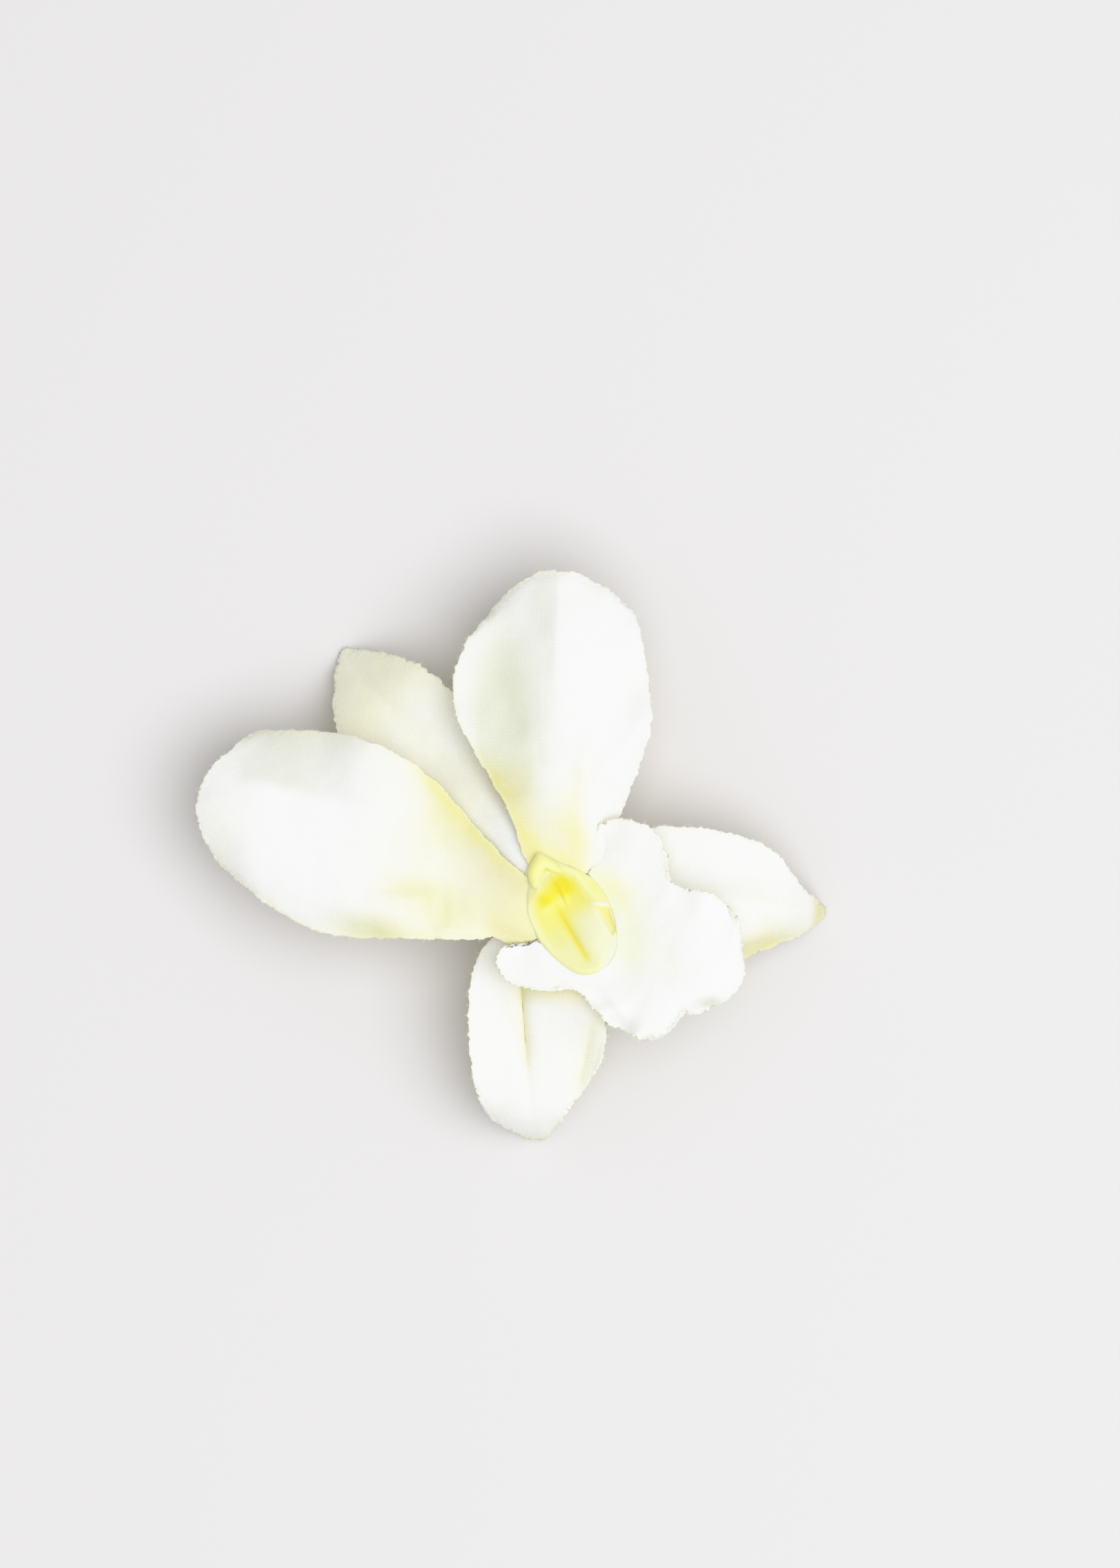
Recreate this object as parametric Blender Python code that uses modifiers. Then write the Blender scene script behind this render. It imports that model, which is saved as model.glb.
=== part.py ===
"""A single orchid flower as picked, lying face up on a surface.

Five tepals (two broad petals in front, three pointed sepals behind) and a three-lobed lip spread from a hub.
A hollow column with its anther cap stands in the middle, and a curved pedicel carries the flower from behind.
The frame is +Z up, out of the flower's face, with the origin under the middle of the bounding box.
"""

import math

import bmesh
import bpy
import numpy as np
from mathutils import Vector

MM = 0.001

# Driving sizes, in millimetres
HUB = (5.57, -5.23, 10.0)  # the underside of the sepals' bases, where every blade starts
GAP = 0.3  # clearance between neighbouring pieces
BLADE_THICKNESS = 0.6
COLUMN_THICKNESS = 0.9
CORE_RADIUS = 1.0  # the column's foot, which runs down between the blades to the receptacle
CORE_HEIGHT = 3.9
PEDICEL_RADIUS = 1.2
RECEPTACLE_RADIUS = 2.5
CUT_END_RADIUS = 1.5
BLADE_START = 1.45  # how far from the hub each blade begins, clear of the column's foot
FURROW_WIDTH = 0.16  # of the petals' middle furrow, as a share of their half width

# Directions of the blades in the face, in degrees anticlockwise from +X
UPPER_PETAL_AT = 88.0
LEFT_PETAL_AT = 167.0
DORSAL_SEPAL_AT = 131.0
RIGHT_SEPAL_AT = -2.5
LOWER_SEPAL_AT = -93.5
LIP_AT = -35.0
COLUMN_AT = -59.0
KEEL_AT = -47.0  # the ridge in the throat, which points at the lip's middle lobe

# Each blade is a row of cross-sections from its base to its tip, in millimetres from the hub:
# distance along the blade's own direction, sideways sway and height of the midrib, the half widths
# on its left and right, how far the left and right edges lift towards the viewer, and how far the
# edges lag behind the midrib, which rounds the tip.
UPPER_PETAL = (
    (BLADE_START, 0.0, 1.2, 0.9, 0.9, 0.0, 0.0, 0.0),
    (5.0, 0.0, 2.2, 4.0, 4.0, 0.7, 0.2, 0.2),
    (11.0, 0.0, 4.2, 6.2, 7.4, 1.3, 0.5, 0.5),
    (17.5, 0.5, 5.8, 9.4, 10.2, 2.0, 1.3, 1.0),
    (24.0, 1.2, 6.6, 12.0, 12.5, 2.2, 1.6, 1.8),
    (30.0, 1.5, 6.4, 12.5, 12.3, 1.4, 1.2, 2.6),
    (35.5, 1.6, 5.4, 10.9, 11.6, 0.3, 0.5, 3.5),
    (39.5, 1.6, 4.0, 8.6, 10.8, -0.5, 0.0, 4.3),
    (41.6, 1.6, 2.9, 7.4, 10.0, -0.9, -0.2, 4.8),
)
LEFT_PETAL = (
    (BLADE_START, 0.0, 1.2, 0.9, 0.9, 0.0, 0.0, 0.0),
    (3.6, 1.0, 1.7, 3.6, 2.6, 0.2, 0.2, 0.0),
    (7.0, 1.3, 2.6, 5.3, 4.6, 0.3, 0.8, 0.2),
    (12.0, 0.6, 4.0, 7.3, 6.9, 0.7, 1.4, 0.5),
    (19.0, -0.6, 5.3, 9.9, 10.4, 0.8, 1.8, 1.0),
    (26.0, -1.4, 5.8, 12.0, 12.2, 0.2, 1.8, 1.7),
    (33.0, -1.9, 5.2, 12.5, 12.4, -0.8, 1.2, 2.6),
    (39.5, -2.3, 3.6, 11.0, 11.3, -1.4, 0.4, 3.5),
    (44.5, -2.5, 1.4, 9.2, 10.2, -1.6, -0.2, 4.4),
    (47.2, -2.5, -0.2, 8.2, 9.4, -1.6, -0.4, 5.0),
)
DORSAL_SEPAL = (
    (BLADE_START, 0.0, 0.3, 1.1, 1.1, 0.0, 0.0, 0.0),
    (7.0, 0.0, 0.7, 3.6, 3.6, -0.2, -0.2, 0.1),
    (14.0, 0.0, 1.3, 5.6, 5.4, 0.0, 0.0, 0.2),
    (21.0, 0.0, 1.4, 7.3, 6.8, 0.4, 0.4, 0.4),
    (28.0, 0.1, 0.2, 8.3, 7.4, 0.8, 0.8, 0.6),
    (33.0, 0.2, -2.2, 7.7, 7.0, 0.9, 0.9, 0.9),
    (37.0, 0.2, -5.2, 6.2, 5.6, 0.8, 0.8, 1.2),
    (40.0, 0.1, -7.9, 3.6, 3.2, 0.4, 0.4, 1.0),
    (41.8, 0.0, -9.8, 0.9, 0.8, 0.0, 0.0, 0.3),
)
RIGHT_SEPAL = (
    (BLADE_START, 0.0, 0.3, 1.1, 1.1, 0.0, 0.0, 0.0),
    (6.0, 1.2, 1.0, 4.6, 3.8, -0.3, -0.3, 0.1),
    (11.0, 2.0, 1.9, 7.2, 6.5, -0.6, -0.6, 0.2),
    (16.0, 2.0, 2.3, 7.8, 8.6, -0.8, -1.2, 0.3),
    (21.0, 1.5, 1.9, 7.9, 8.9, -1.0, -1.8, 0.4),
    (25.5, 1.0, 0.3, 7.4, 7.4, -0.8, -1.6, 0.6),
    (29.0, 0.6, -2.4, 6.0, 5.4, -0.2, -0.8, 0.8),
    (32.2, 0.1, -6.0, 2.6, 3.4, 0.2, 0.0, 0.8),
    (34.4, -0.4, -9.9, 0.8, 0.9, 0.0, 0.0, 0.3),
)
LOWER_SEPAL = (
    (BLADE_START, 0.0, 0.3, 1.1, 1.1, 0.0, 0.0, 0.0),
    (5.5, -2.0, 1.1, 5.0, 5.6, -0.2, 0.0, 0.1),
    (10.0, -3.3, 2.1, 8.5, 6.7, 0.4, 0.4, 0.2),
    (15.0, -3.1, 2.6, 10.2, 7.1, 0.8, 0.8, 0.3),
    (20.0, -2.4, 2.0, 9.6, 7.5, 0.9, 1.0, 0.6),
    (24.5, -1.8, 0.1, 7.2, 7.3, 0.6, 0.8, 1.0),
    (28.0, -1.2, -3.4, 4.3, 6.7, 0.2, 0.5, 1.2),
    (30.0, -0.7, -6.8, 2.4, 5.2, 0.0, 0.2, 1.0),
    (31.1, -0.3, -9.9, 0.9, 2.2, 0.0, 0.0, 0.3),
)
LIP = (
    (BLADE_START, 0.0, 5.6, 0.9, 0.9, 0.0, 0.0, 0.0),
    (2.4, 0.0, 5.8, 5.0, 5.2, 0.8, 0.8, 1.2),
    (3.4, 0.0, 6.0, 10.2, 10.6, 1.6, 1.6, 4.4),
    (5.0, 0.6, 6.1, 12.5, 12.6, 1.8, 1.8, 4.0),
    (7.2, 1.6, 6.3, 12.6, 12.4, 1.8, 1.8, 2.6),
    (9.3, 1.6, 6.7, 11.0, 9.9, 1.6, 1.6, 1.2),
    (11.6, 1.3, 7.4, 8.7, 9.4, 1.2, 1.2, 0.4),
    (14.6, 1.4, 8.5, 10.0, 10.6, 0.6, 0.6, 0.4),
    (18.0, 1.6, 9.5, 10.3, 10.3, -0.4, -0.4, 1.0),
    (21.4, 2.4, 9.9, 9.0, 10.6, -1.4, -1.4, 2.8),
    (24.0, 3.5, 9.2, 7.4, 10.9, -1.8, -1.8, 4.8),
    (25.3, 4.2, 8.4, 6.0, 9.7, -1.8, -1.8, 5.6),
)
# The lip dips under the column: it leaves the hub at one height, climbs this much for each millimetre
# forward and each square millimetre sideways, and comes up beside the column between two of its outlines,
# given as shares of the column's own rim.
LIP_ROOT = 1.2
LIP_ROOT_SLOPE = 0.32
LIP_ROOT_SPREAD = 0.04
LIP_CLIMB = (1.0, 1.32)

# The middle lobe's ruffles and its keel: the ruffles' depth, number and slant, the shares of the lip's length
# between which they set in, and the depth of the groove over the keel and its share of the half width.
RUFFLE_DEPTH = 1.0
RUFFLE_COUNT = 4.5
RUFFLE_SLANT = 0.3
RUFFLES_SET_IN = (0.5, 0.7)
LIP_GROOVE = 0.5
LIP_GROOVE_WIDTH = 0.12

# The column is a hooded oval cup: its rim's centre and half sizes along and across it, the floor's height
# at the hollow and its rise to the throat's end, and the rim's height at its sides, front and rear.
COLUMN_CENTRE = (2.6, 0.6)
COLUMN_REACH = (8.2, 5.0)
FLOOR_HEIGHT = 3.8
FLOOR_RISE = 3.5
FLOOR_RISES_BETWEEN = (1.0, 11.5)
RIM_HEIGHT = 6.7
RIM_FRONT_RISE = 1.1
RIM_REAR_RISE = 3.1
KEEL_HEIGHT = 1.2
KEEL_SPAN = (1.5, 3.5, 8.0, 10.5)  # where the keel starts, is full, starts to fade and ends
KEEL_MIDDLE = 0.4
KEEL_HALF_WIDTHS = (1.4, 2.4)  # of its flat top and of its foot

# The pedicel's centre line from the receptacle down to its cut end: x, y, height over the hub, radius
PEDICEL = (
    (0.0, 0.0, -GAP, RECEPTACLE_RADIUS),
    (0.0, 0.0, -0.9, RECEPTACLE_RADIUS),
    (0.0, -0.1, -2.2, 1.75),
    (0.0, -0.4, -4.0, 1.35),
    (-0.1, -1.6, -6.2, PEDICEL_RADIUS),
    (-0.3, -3.8, -8.0, PEDICEL_RADIUS),
    (-0.7, -7.0, -8.75, PEDICEL_RADIUS),
    (-1.2, -11.0, -8.8, PEDICEL_RADIUS),
    (-1.7, -15.5, -8.8, PEDICEL_RADIUS),
    (-2.0, -20.0, -8.8, PEDICEL_RADIUS),
    (-2.1, -22.6, -8.5, CUT_END_RADIUS),
    (-2.1, -24.0, -8.5, CUT_END_RADIUS),
)

# The anther cap is a crescent on the hood's rear rim
CAP_WIDTH = 2.4
CAP_HEIGHT = 1.2
CAP_SPAN = 58.0  # degrees of the rim to either side of the rear that it covers
CAP_LEAN = 0.7  # how far it leans in over the hollow
CAP_SEAT = 0.82  # from the rim up to the widest part of the cap
CAP_NIB = 0.6
CAP_NOTCH = 0.4


def clear_scene():
    for leftover in list(bpy.data.objects):
        bpy.data.objects.remove(leftover, do_unlink=True)


def collection(name, hidden=False):
    made = bpy.data.collections.new(name)
    made.hide_render = hidden
    bpy.context.scene.collection.children.link(made)
    return made


def material(name, colour, roughness):
    made = bpy.data.materials.new(name)
    made.use_nodes = True
    shader = made.node_tree.nodes["Principled BSDF"]
    shader.inputs["Base Color"].default_value = (*colour, 1.0)
    shader.inputs["Roughness"].default_value = roughness
    shader.inputs["Metallic"].default_value = 0.0
    made.diffuse_color = (*colour, 1.0)
    return made


def section(stations, u):
    """The row of values at u, from 0 at the base to 1 at the tip, on a smooth curve through the stations."""
    rows = np.array(stations, float)
    place = min(max(u, 0.0), 1.0) * (len(rows) - 1)
    k = min(int(place), len(rows) - 2)
    t = place - k
    before = rows[k - 1] if k > 0 else 2 * rows[k] - rows[k + 1]
    after = rows[k + 2] if k + 2 < len(rows) else 2 * rows[k + 1] - rows[k]
    slope_in, slope_out = (rows[k + 1] - before) / 2, (after - rows[k]) / 2
    return (
        rows[k] * (2 * t**3 - 3 * t**2 + 1)
        + slope_in * (t**3 - 2 * t**2 + t)
        + rows[k + 1] * (3 * t**2 - 2 * t**3)
        + slope_out * (t**3 - t**2)
    )


def ease(value, start, end):
    """A smooth step from 0 at start to 1 at end."""
    share = min(max((value - start) / (end - start), 0.0), 1.0)
    return share * share * (3 - 2 * share)


def column_share(forward, side, angle):
    """How far out a point lies from the column's middle, where 1 is its rim, and its direction's cosine.

    The point is given along and across the direction of a blade.
    """
    turn = math.radians(angle - COLUMN_AT)
    along = forward * math.cos(turn) - side * math.sin(turn)
    across = forward * math.sin(turn) + side * math.cos(turn)
    x = (along - COLUMN_CENTRE[0]) / COLUMN_REACH[0]
    y = (across - COLUMN_CENTRE[1]) / COLUMN_REACH[1]
    share = math.hypot(x, y)
    return share, x / max(share, 1e-6)


def placed(forward, side, up, angle):
    """The point that lies this far along and across a direction from the hub, in metres."""
    turn = math.radians(angle)
    return MM * Vector(
        (
            HUB[0] + forward * math.cos(turn) - side * math.sin(turn),
            HUB[1] + forward * math.sin(turn) + side * math.cos(turn),
            HUB[2] + up,
        )
    )


def blade_point(stations, angle, detail, u, v):
    """The point of a blade at u along it and v across it, from -1 on its right to 1 on its left."""
    along, sway, height, left, right, lift_left, lift_right, lag = section(stations, u)
    forward = along - lag * v * v
    side = sway + v * (left if v > 0 else right)
    up = height + v * v * (lift_left if v > 0 else lift_right)
    return placed(forward, side, detail(u, v, forward, side, up), angle)


def thickened(name, shape, thickness, group, finish):
    """An object from an open surface, cut into triangles first so that both its faces are cut alike."""
    bmesh.ops.triangulate(shape, faces=shape.faces[:], quad_method="SHORT_EDGE")
    mesh = bpy.data.meshes.new(name)
    shape.to_mesh(mesh)
    shape.free()
    mesh.shade_smooth()
    made = bpy.data.objects.new(name, mesh)
    made.data.materials.append(finish)
    group.objects.link(made)
    solid = made.modifiers.new("thickness", "SOLIDIFY")
    solid.thickness = thickness * MM
    solid.offset = 0.0
    return made


def blade(name, stations, angle, detail, group, finish, grid):
    """A thin curved blade: a grid bent to its sections."""
    shape = bmesh.new()
    bmesh.ops.create_grid(shape, x_segments=grid[0], y_segments=grid[1], size=1.0)
    for vertex in shape.verts:
        vertex.co = blade_point(stations, angle, detail, (vertex.co.x + 1) / 2, vertex.co.y)
    return thickened(name, shape, BLADE_THICKNESS, group, finish)


def creased(depth, width):
    """A fold along the midrib, deepest in the middle of its length."""

    def fold(u, v, forward, side, up):
        return up - depth * math.sin(math.pi * u) * math.exp(-((v / width) ** 2))

    return fold


def waved(depth, cycles, phase, furrow):
    """Waves that grow towards the edges, over a shallow furrow along the midrib."""

    def wave(u, v, forward, side, up):
        ripple = depth * abs(v) ** 3 * math.sin(2 * math.pi * (cycles * u + 0.25 * v) + phase)
        return up + ripple * min(3 * u, 1.0) - furrow * math.sin(math.pi * u) * math.exp(-((v / FURROW_WIDTH) ** 2))

    return wave


def lip_form(u, v, forward, side, up):
    """The lip's ruffled middle lobe with its low keel, and its dip under the column."""
    rim = ease(u, *RUFFLES_SET_IN)
    up += rim * RUFFLE_DEPTH * abs(v) ** 2.5 * math.sin(2 * math.pi * (RUFFLE_COUNT * u + RUFFLE_SLANT * v))
    up -= rim * LIP_GROOVE * math.exp(-((v / LIP_GROOVE_WIDTH) ** 2))
    root = LIP_ROOT + LIP_ROOT_SLOPE * (forward - BLADE_START) + LIP_ROOT_SPREAD * side * side
    climb = ease(column_share(forward, side, LIP_AT)[0], *LIP_CLIMB)
    return root + (up - root) * climb


def rim_height(cosine):
    """The height of the column's rim, where the cosine is 1 at the throat's end and -1 at the rear."""
    return RIM_HEIGHT + RIM_FRONT_RISE * max(cosine, 0.0) ** 2 + RIM_REAR_RISE * ease(-cosine, 0.2, 0.95)


def keel(along, across):
    """The raised ridge along the throat's floor."""
    turn = math.radians(COLUMN_AT - KEEL_AT)
    forward = along * math.cos(turn) - across * math.sin(turn)
    side = along * math.sin(turn) + across * math.cos(turn)
    start, full, fade, end = KEEL_SPAN
    length = ease(forward, start, full) * (1 - ease(forward, fade, end))
    return KEEL_HEIGHT * length * (1 - ease(abs(side - KEEL_MIDDLE), *KEEL_HALF_WIDTHS))


def column(group, tools, finish):
    """The hollow column and its throat, with the foot that runs down to the receptacle.

    The cup is the lower half of a sphere, its rings laid out as ovals and its height worked out at each point.
    """
    shape = bmesh.new()
    bmesh.ops.create_uvsphere(shape, u_segments=28, v_segments=16, radius=1.0)
    upper = [vertex for vertex in shape.verts if vertex.co.z > 0.01]
    bmesh.ops.delete(shape, geom=upper, context="VERTS")
    for vertex in shape.verts:
        share = 2 / math.pi * math.acos(min(max(-vertex.co.z, 0.0), 1.0))
        around = math.atan2(vertex.co.y, vertex.co.x)
        along = COLUMN_CENTRE[0] + COLUMN_REACH[0] * share * math.cos(around)
        across = COLUMN_CENTRE[1] + COLUMN_REACH[1] * share * math.sin(around)
        floor = FLOOR_HEIGHT + FLOOR_RISE * ease(along, *FLOOR_RISES_BETWEEN)
        up = floor + (rim_height(math.cos(around)) - floor) * share**3 + keel(along, across) * (1 - share**3)
        vertex.co = placed(along, across, up, COLUMN_AT)
    made = thickened("column", shape, COLUMN_THICKNESS, group, finish)

    bpy.ops.mesh.primitive_cylinder_add(
        vertices=12,
        radius=CORE_RADIUS * MM,
        depth=CORE_HEIGHT * MM,
        location=placed(0.0, 0.0, CORE_HEIGHT / 2, 0.0),
    )
    foot = bpy.context.object
    foot.name = "foot_of_column"
    foot.hide_render = True
    foot.display_type = "WIRE"
    for holder in list(foot.users_collection):
        holder.objects.unlink(foot)
    tools.objects.link(foot)
    join = made.modifiers.new("foot", "BOOLEAN")
    join.operation = "UNION"
    join.solver = "EXACT"
    join.object = foot
    return made


def anther_cap(group, finish):
    """A sphere bent round the hood's rear rim: nibbed at the back and notched over the hollow."""
    shape = bmesh.new()
    bmesh.ops.create_uvsphere(shape, u_segments=16, v_segments=10, radius=1.0)
    for vertex in shape.verts:
        inward, sideways, upward = vertex.co
        middle = math.exp(-((sideways / 0.2) ** 2))
        inward += CAP_NIB * middle * min(inward, 0.0) - CAP_NOTCH * middle * max(inward, 0.0)
        around = math.pi - sideways * math.radians(CAP_SPAN)
        out = -CAP_LEAN - inward * CAP_WIDTH / 2
        along = COLUMN_CENTRE[0] + (COLUMN_REACH[0] + out) * math.cos(around)
        across = COLUMN_CENTRE[1] + (COLUMN_REACH[1] + out) * math.sin(around)
        dome = upward if upward > 0 else 0.25 * upward
        up = rim_height(math.cos(around)) + CAP_SEAT + dome * CAP_HEIGHT
        vertex.co = placed(along, across, up, COLUMN_AT)
    mesh = bpy.data.meshes.new("anther_cap")
    shape.to_mesh(mesh)
    shape.free()
    mesh.shade_smooth()
    made = bpy.data.objects.new("anther_cap", mesh)
    made.data.materials.append(finish)
    group.objects.link(made)
    return made


def pedicel(group, finish):
    """The flower's stalk: a bent tube that widens to the receptacle above and to its cut end below."""
    facet_turn = math.radians(15)  # lays one of the tube's twelve flats underneath
    curve = bpy.data.curves.new("pedicel", "CURVE")
    curve.dimensions = "3D"
    curve.bevel_depth = PEDICEL_RADIUS * MM
    curve.bevel_resolution = 4
    curve.use_fill_caps = True
    fine = [section(PEDICEL, k / 30) for k in range(31)]
    line = curve.splines.new("POLY")
    line.points.add(len(fine) - 1)
    for point, (x, y, height, radius) in zip(line.points, fine):
        point.co = (*placed(x, y, height, 0.0), 1.0)
        point.radius = radius / PEDICEL_RADIUS
        point.tilt = facet_turn
    made = bpy.data.objects.new("pedicel", curve)
    made.data.materials.append(finish)
    group.objects.link(made)
    return made


def main():
    clear_scene()
    flower = collection("orchid_flower")
    tools = collection("helpers", hidden=True)
    white = material("petal_white", (0.93, 0.93, 0.86), 0.6)
    cream = material("lip_white", (0.93, 0.94, 0.84), 0.6)
    yellow = material("column_yellow", (0.93, 0.80, 0.12), 0.45)
    lime = material("anther_lime", (0.86, 0.85, 0.28), 0.45)
    green = material("pedicel_green", (0.38, 0.53, 0.10), 0.45)

    blades = (
        ("petal_upper", UPPER_PETAL, UPPER_PETAL_AT, waved(0.5, 1.6, 0.4, 0.5), white, (18, 10)),
        ("petal_left", LEFT_PETAL, LEFT_PETAL_AT, waved(0.5, 1.5, 2.2, 0.5), white, (18, 10)),
        ("sepal_dorsal", DORSAL_SEPAL, DORSAL_SEPAL_AT, creased(0.5, 0.22), white, (18, 10)),
        ("sepal_right", RIGHT_SEPAL, RIGHT_SEPAL_AT, creased(-0.6, 0.22), white, (18, 10)),
        ("sepal_lower", LOWER_SEPAL, LOWER_SEPAL_AT, creased(0.9, 0.2), white, (18, 10)),
        ("lip", LIP, LIP_AT, lip_form, cream, (28, 18)),
    )
    for name, stations, angle, detail, finish, grid in blades:
        blade(name, stations, angle, detail, flower, finish, grid)
    column(flower, tools, yellow)
    anther_cap(flower, lime)
    pedicel(flower, green)


main()
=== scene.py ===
"""The looks of the orchid flower: cloth petals, sepals and lip round a moulded column, on a plain pale floor.

Lengths are in millimetres from the hub, where all the blades meet, until `placed` turns them into metres.
"""

import math

import bmesh
import bpy
import numpy as np
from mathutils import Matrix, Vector
from mathutils.kdtree import KDTree


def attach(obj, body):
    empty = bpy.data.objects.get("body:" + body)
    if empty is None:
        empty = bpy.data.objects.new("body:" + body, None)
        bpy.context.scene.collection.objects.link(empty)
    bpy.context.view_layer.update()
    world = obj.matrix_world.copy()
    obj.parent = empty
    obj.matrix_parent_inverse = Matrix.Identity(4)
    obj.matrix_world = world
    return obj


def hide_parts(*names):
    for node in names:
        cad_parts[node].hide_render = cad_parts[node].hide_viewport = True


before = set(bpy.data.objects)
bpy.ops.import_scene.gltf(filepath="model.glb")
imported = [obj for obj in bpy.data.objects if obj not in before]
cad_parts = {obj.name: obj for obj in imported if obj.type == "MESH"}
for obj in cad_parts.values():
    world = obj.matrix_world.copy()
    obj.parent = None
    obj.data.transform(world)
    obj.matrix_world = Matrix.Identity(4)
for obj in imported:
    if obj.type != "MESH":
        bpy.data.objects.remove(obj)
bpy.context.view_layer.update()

MM = 0.001
HUB = (5.57, -5.23, 10.0)
BLADE_START = 1.45
CLOTH_THICKNESS = 0.34
WALL_THICKNESS = 0.5

# The cloth: the steps along and across a blade, its wrinkles, and its edge's fraying: how far, deep and often
BLADE_GRID = (220, 110)
LIP_GRID = (220, 170)
WRINKLE_HEIGHT = 0.022
WRINKLE_LENGTH = 2.6
FRAYED = 0.09
LIP_FRAYED = 0.12
FRAY_REACH = 0.5
FRAY_LENGTHS = (0.7, 3.0)

# The loose threads along the cut edges
THREADS_A_BLADE = 260
THREAD_RADIUS = 0.035
THREAD_LENGTH = 0.55
THREAD_ROOT = 0.1
THREAD_TAPER = 0.7
THREAD_SIDES = 3
THREAD_STEPS = np.linspace(0.0, 1.0, 4)

# A smooth random surface is this many waves added up, which mostly stay under this height together
WAVES_ADDED = 10
WAVES_REACH = 3.2

# Directions in the flower's face, in degrees anticlockwise from +X
UPPER_PETAL_AT = 88.0
LEFT_PETAL_AT = 167.0
DORSAL_SEPAL_AT = 131.0
RIGHT_SEPAL_AT = -2.5
LOWER_SEPAL_AT = -93.5
LIP_AT = -35.0
COLUMN_AT = -59.0

# Cross-sections from base to tip: distance along, sway and height of the midrib, left and right half widths,
# left and right lifts of the edges, and the edges' lag behind the midrib
UPPER_PETAL = (
    (BLADE_START, 0.0, 1.2, 0.9, 0.9, 0.0, 0.0, 0.0),
    (5.0, 0.0, 2.2, 4.0, 4.0, 0.7, 0.2, 0.2),
    (11.0, 0.0, 4.2, 6.2, 7.4, 1.3, 0.5, 0.5),
    (17.5, 0.5, 5.8, 9.4, 10.2, 2.0, 1.3, 1.0),
    (24.0, 1.2, 6.6, 12.0, 12.5, 2.2, 1.6, 1.8),
    (30.0, 1.5, 6.4, 12.5, 12.3, 1.4, 1.2, 2.6),
    (35.5, 1.6, 5.4, 10.9, 11.6, 0.3, 0.5, 3.5),
    (39.5, 1.6, 4.0, 8.6, 10.8, -0.5, 0.0, 4.3),
    (41.6, 1.6, 2.9, 7.4, 10.0, -0.9, -0.2, 4.8),
)
LEFT_PETAL = (
    (BLADE_START, 0.0, 1.2, 0.9, 0.9, 0.0, 0.0, 0.0),
    (3.6, 1.0, 1.7, 3.6, 2.6, 0.2, 0.2, 0.0),
    (7.0, 1.3, 2.6, 5.3, 4.6, 0.3, 0.8, 0.2),
    (12.0, 0.6, 4.0, 7.3, 6.9, 0.7, 1.4, 0.5),
    (19.0, -0.6, 5.3, 9.9, 10.4, 0.8, 1.8, 1.0),
    (26.0, -1.4, 5.8, 12.0, 12.2, 0.2, 1.8, 1.7),
    (33.0, -1.9, 5.2, 12.5, 12.4, -0.8, 1.2, 2.6),
    (39.5, -2.3, 3.6, 11.0, 11.3, -1.4, 0.4, 3.5),
    (44.5, -2.5, 1.4, 9.2, 10.2, -1.6, -0.2, 4.4),
    (47.2, -2.5, -0.2, 8.2, 9.4, -1.6, -0.4, 5.0),
)
DORSAL_SEPAL = (
    (BLADE_START, 0.0, 0.3, 1.1, 1.1, 0.0, 0.0, 0.0),
    (7.0, 0.0, 0.7, 3.6, 3.6, -0.2, -0.2, 0.1),
    (14.0, 0.0, 1.3, 5.6, 5.4, 0.0, 0.0, 0.2),
    (21.0, 0.0, 1.4, 7.3, 6.8, 0.4, 0.4, 0.4),
    (28.0, 0.1, 0.2, 8.3, 7.4, 0.8, 0.8, 0.6),
    (33.0, 0.2, -2.2, 7.7, 7.0, 0.9, 0.9, 0.9),
    (37.0, 0.2, -5.2, 6.2, 5.6, 0.8, 0.8, 1.2),
    (40.0, 0.1, -7.9, 3.6, 3.2, 0.4, 0.4, 1.0),
    (41.8, 0.0, -9.8, 0.9, 0.8, 0.0, 0.0, 0.3),
)
RIGHT_SEPAL = (
    (BLADE_START, 0.0, 0.3, 1.1, 1.1, 0.0, 0.0, 0.0),
    (6.0, 1.2, 1.0, 4.6, 3.8, -0.3, -0.3, 0.1),
    (11.0, 2.0, 1.9, 7.2, 6.5, -0.6, -0.6, 0.2),
    (16.0, 2.0, 2.3, 7.8, 8.6, -0.8, -1.2, 0.3),
    (21.0, 1.5, 1.9, 7.9, 8.9, -1.0, -1.8, 0.4),
    (25.5, 1.0, 0.3, 7.4, 7.4, -0.8, -1.6, 0.6),
    (29.0, 0.6, -2.4, 6.0, 5.4, -0.2, -0.8, 0.8),
    (32.2, 0.1, -6.0, 2.6, 3.4, 0.2, 0.0, 0.8),
    (34.4, -0.4, -9.9, 0.8, 0.9, 0.0, 0.0, 0.3),
)
LOWER_SEPAL = (
    (BLADE_START, 0.0, 0.3, 1.1, 1.1, 0.0, 0.0, 0.0),
    (5.5, -2.0, 1.1, 5.0, 5.6, -0.2, 0.0, 0.1),
    (10.0, -3.3, 2.1, 8.5, 6.7, 0.4, 0.4, 0.2),
    (15.0, -3.1, 2.6, 10.2, 7.1, 0.8, 0.8, 0.3),
    (20.0, -2.4, 2.0, 9.6, 7.5, 0.9, 1.0, 0.6),
    (24.5, -1.8, 0.1, 7.2, 7.3, 0.6, 0.8, 1.0),
    (28.0, -1.2, -3.4, 4.3, 6.7, 0.2, 0.5, 1.2),
    (30.0, -0.7, -6.8, 2.4, 5.2, 0.0, 0.2, 1.0),
    (31.1, -0.3, -9.9, 0.9, 2.2, 0.0, 0.0, 0.3),
)
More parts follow.
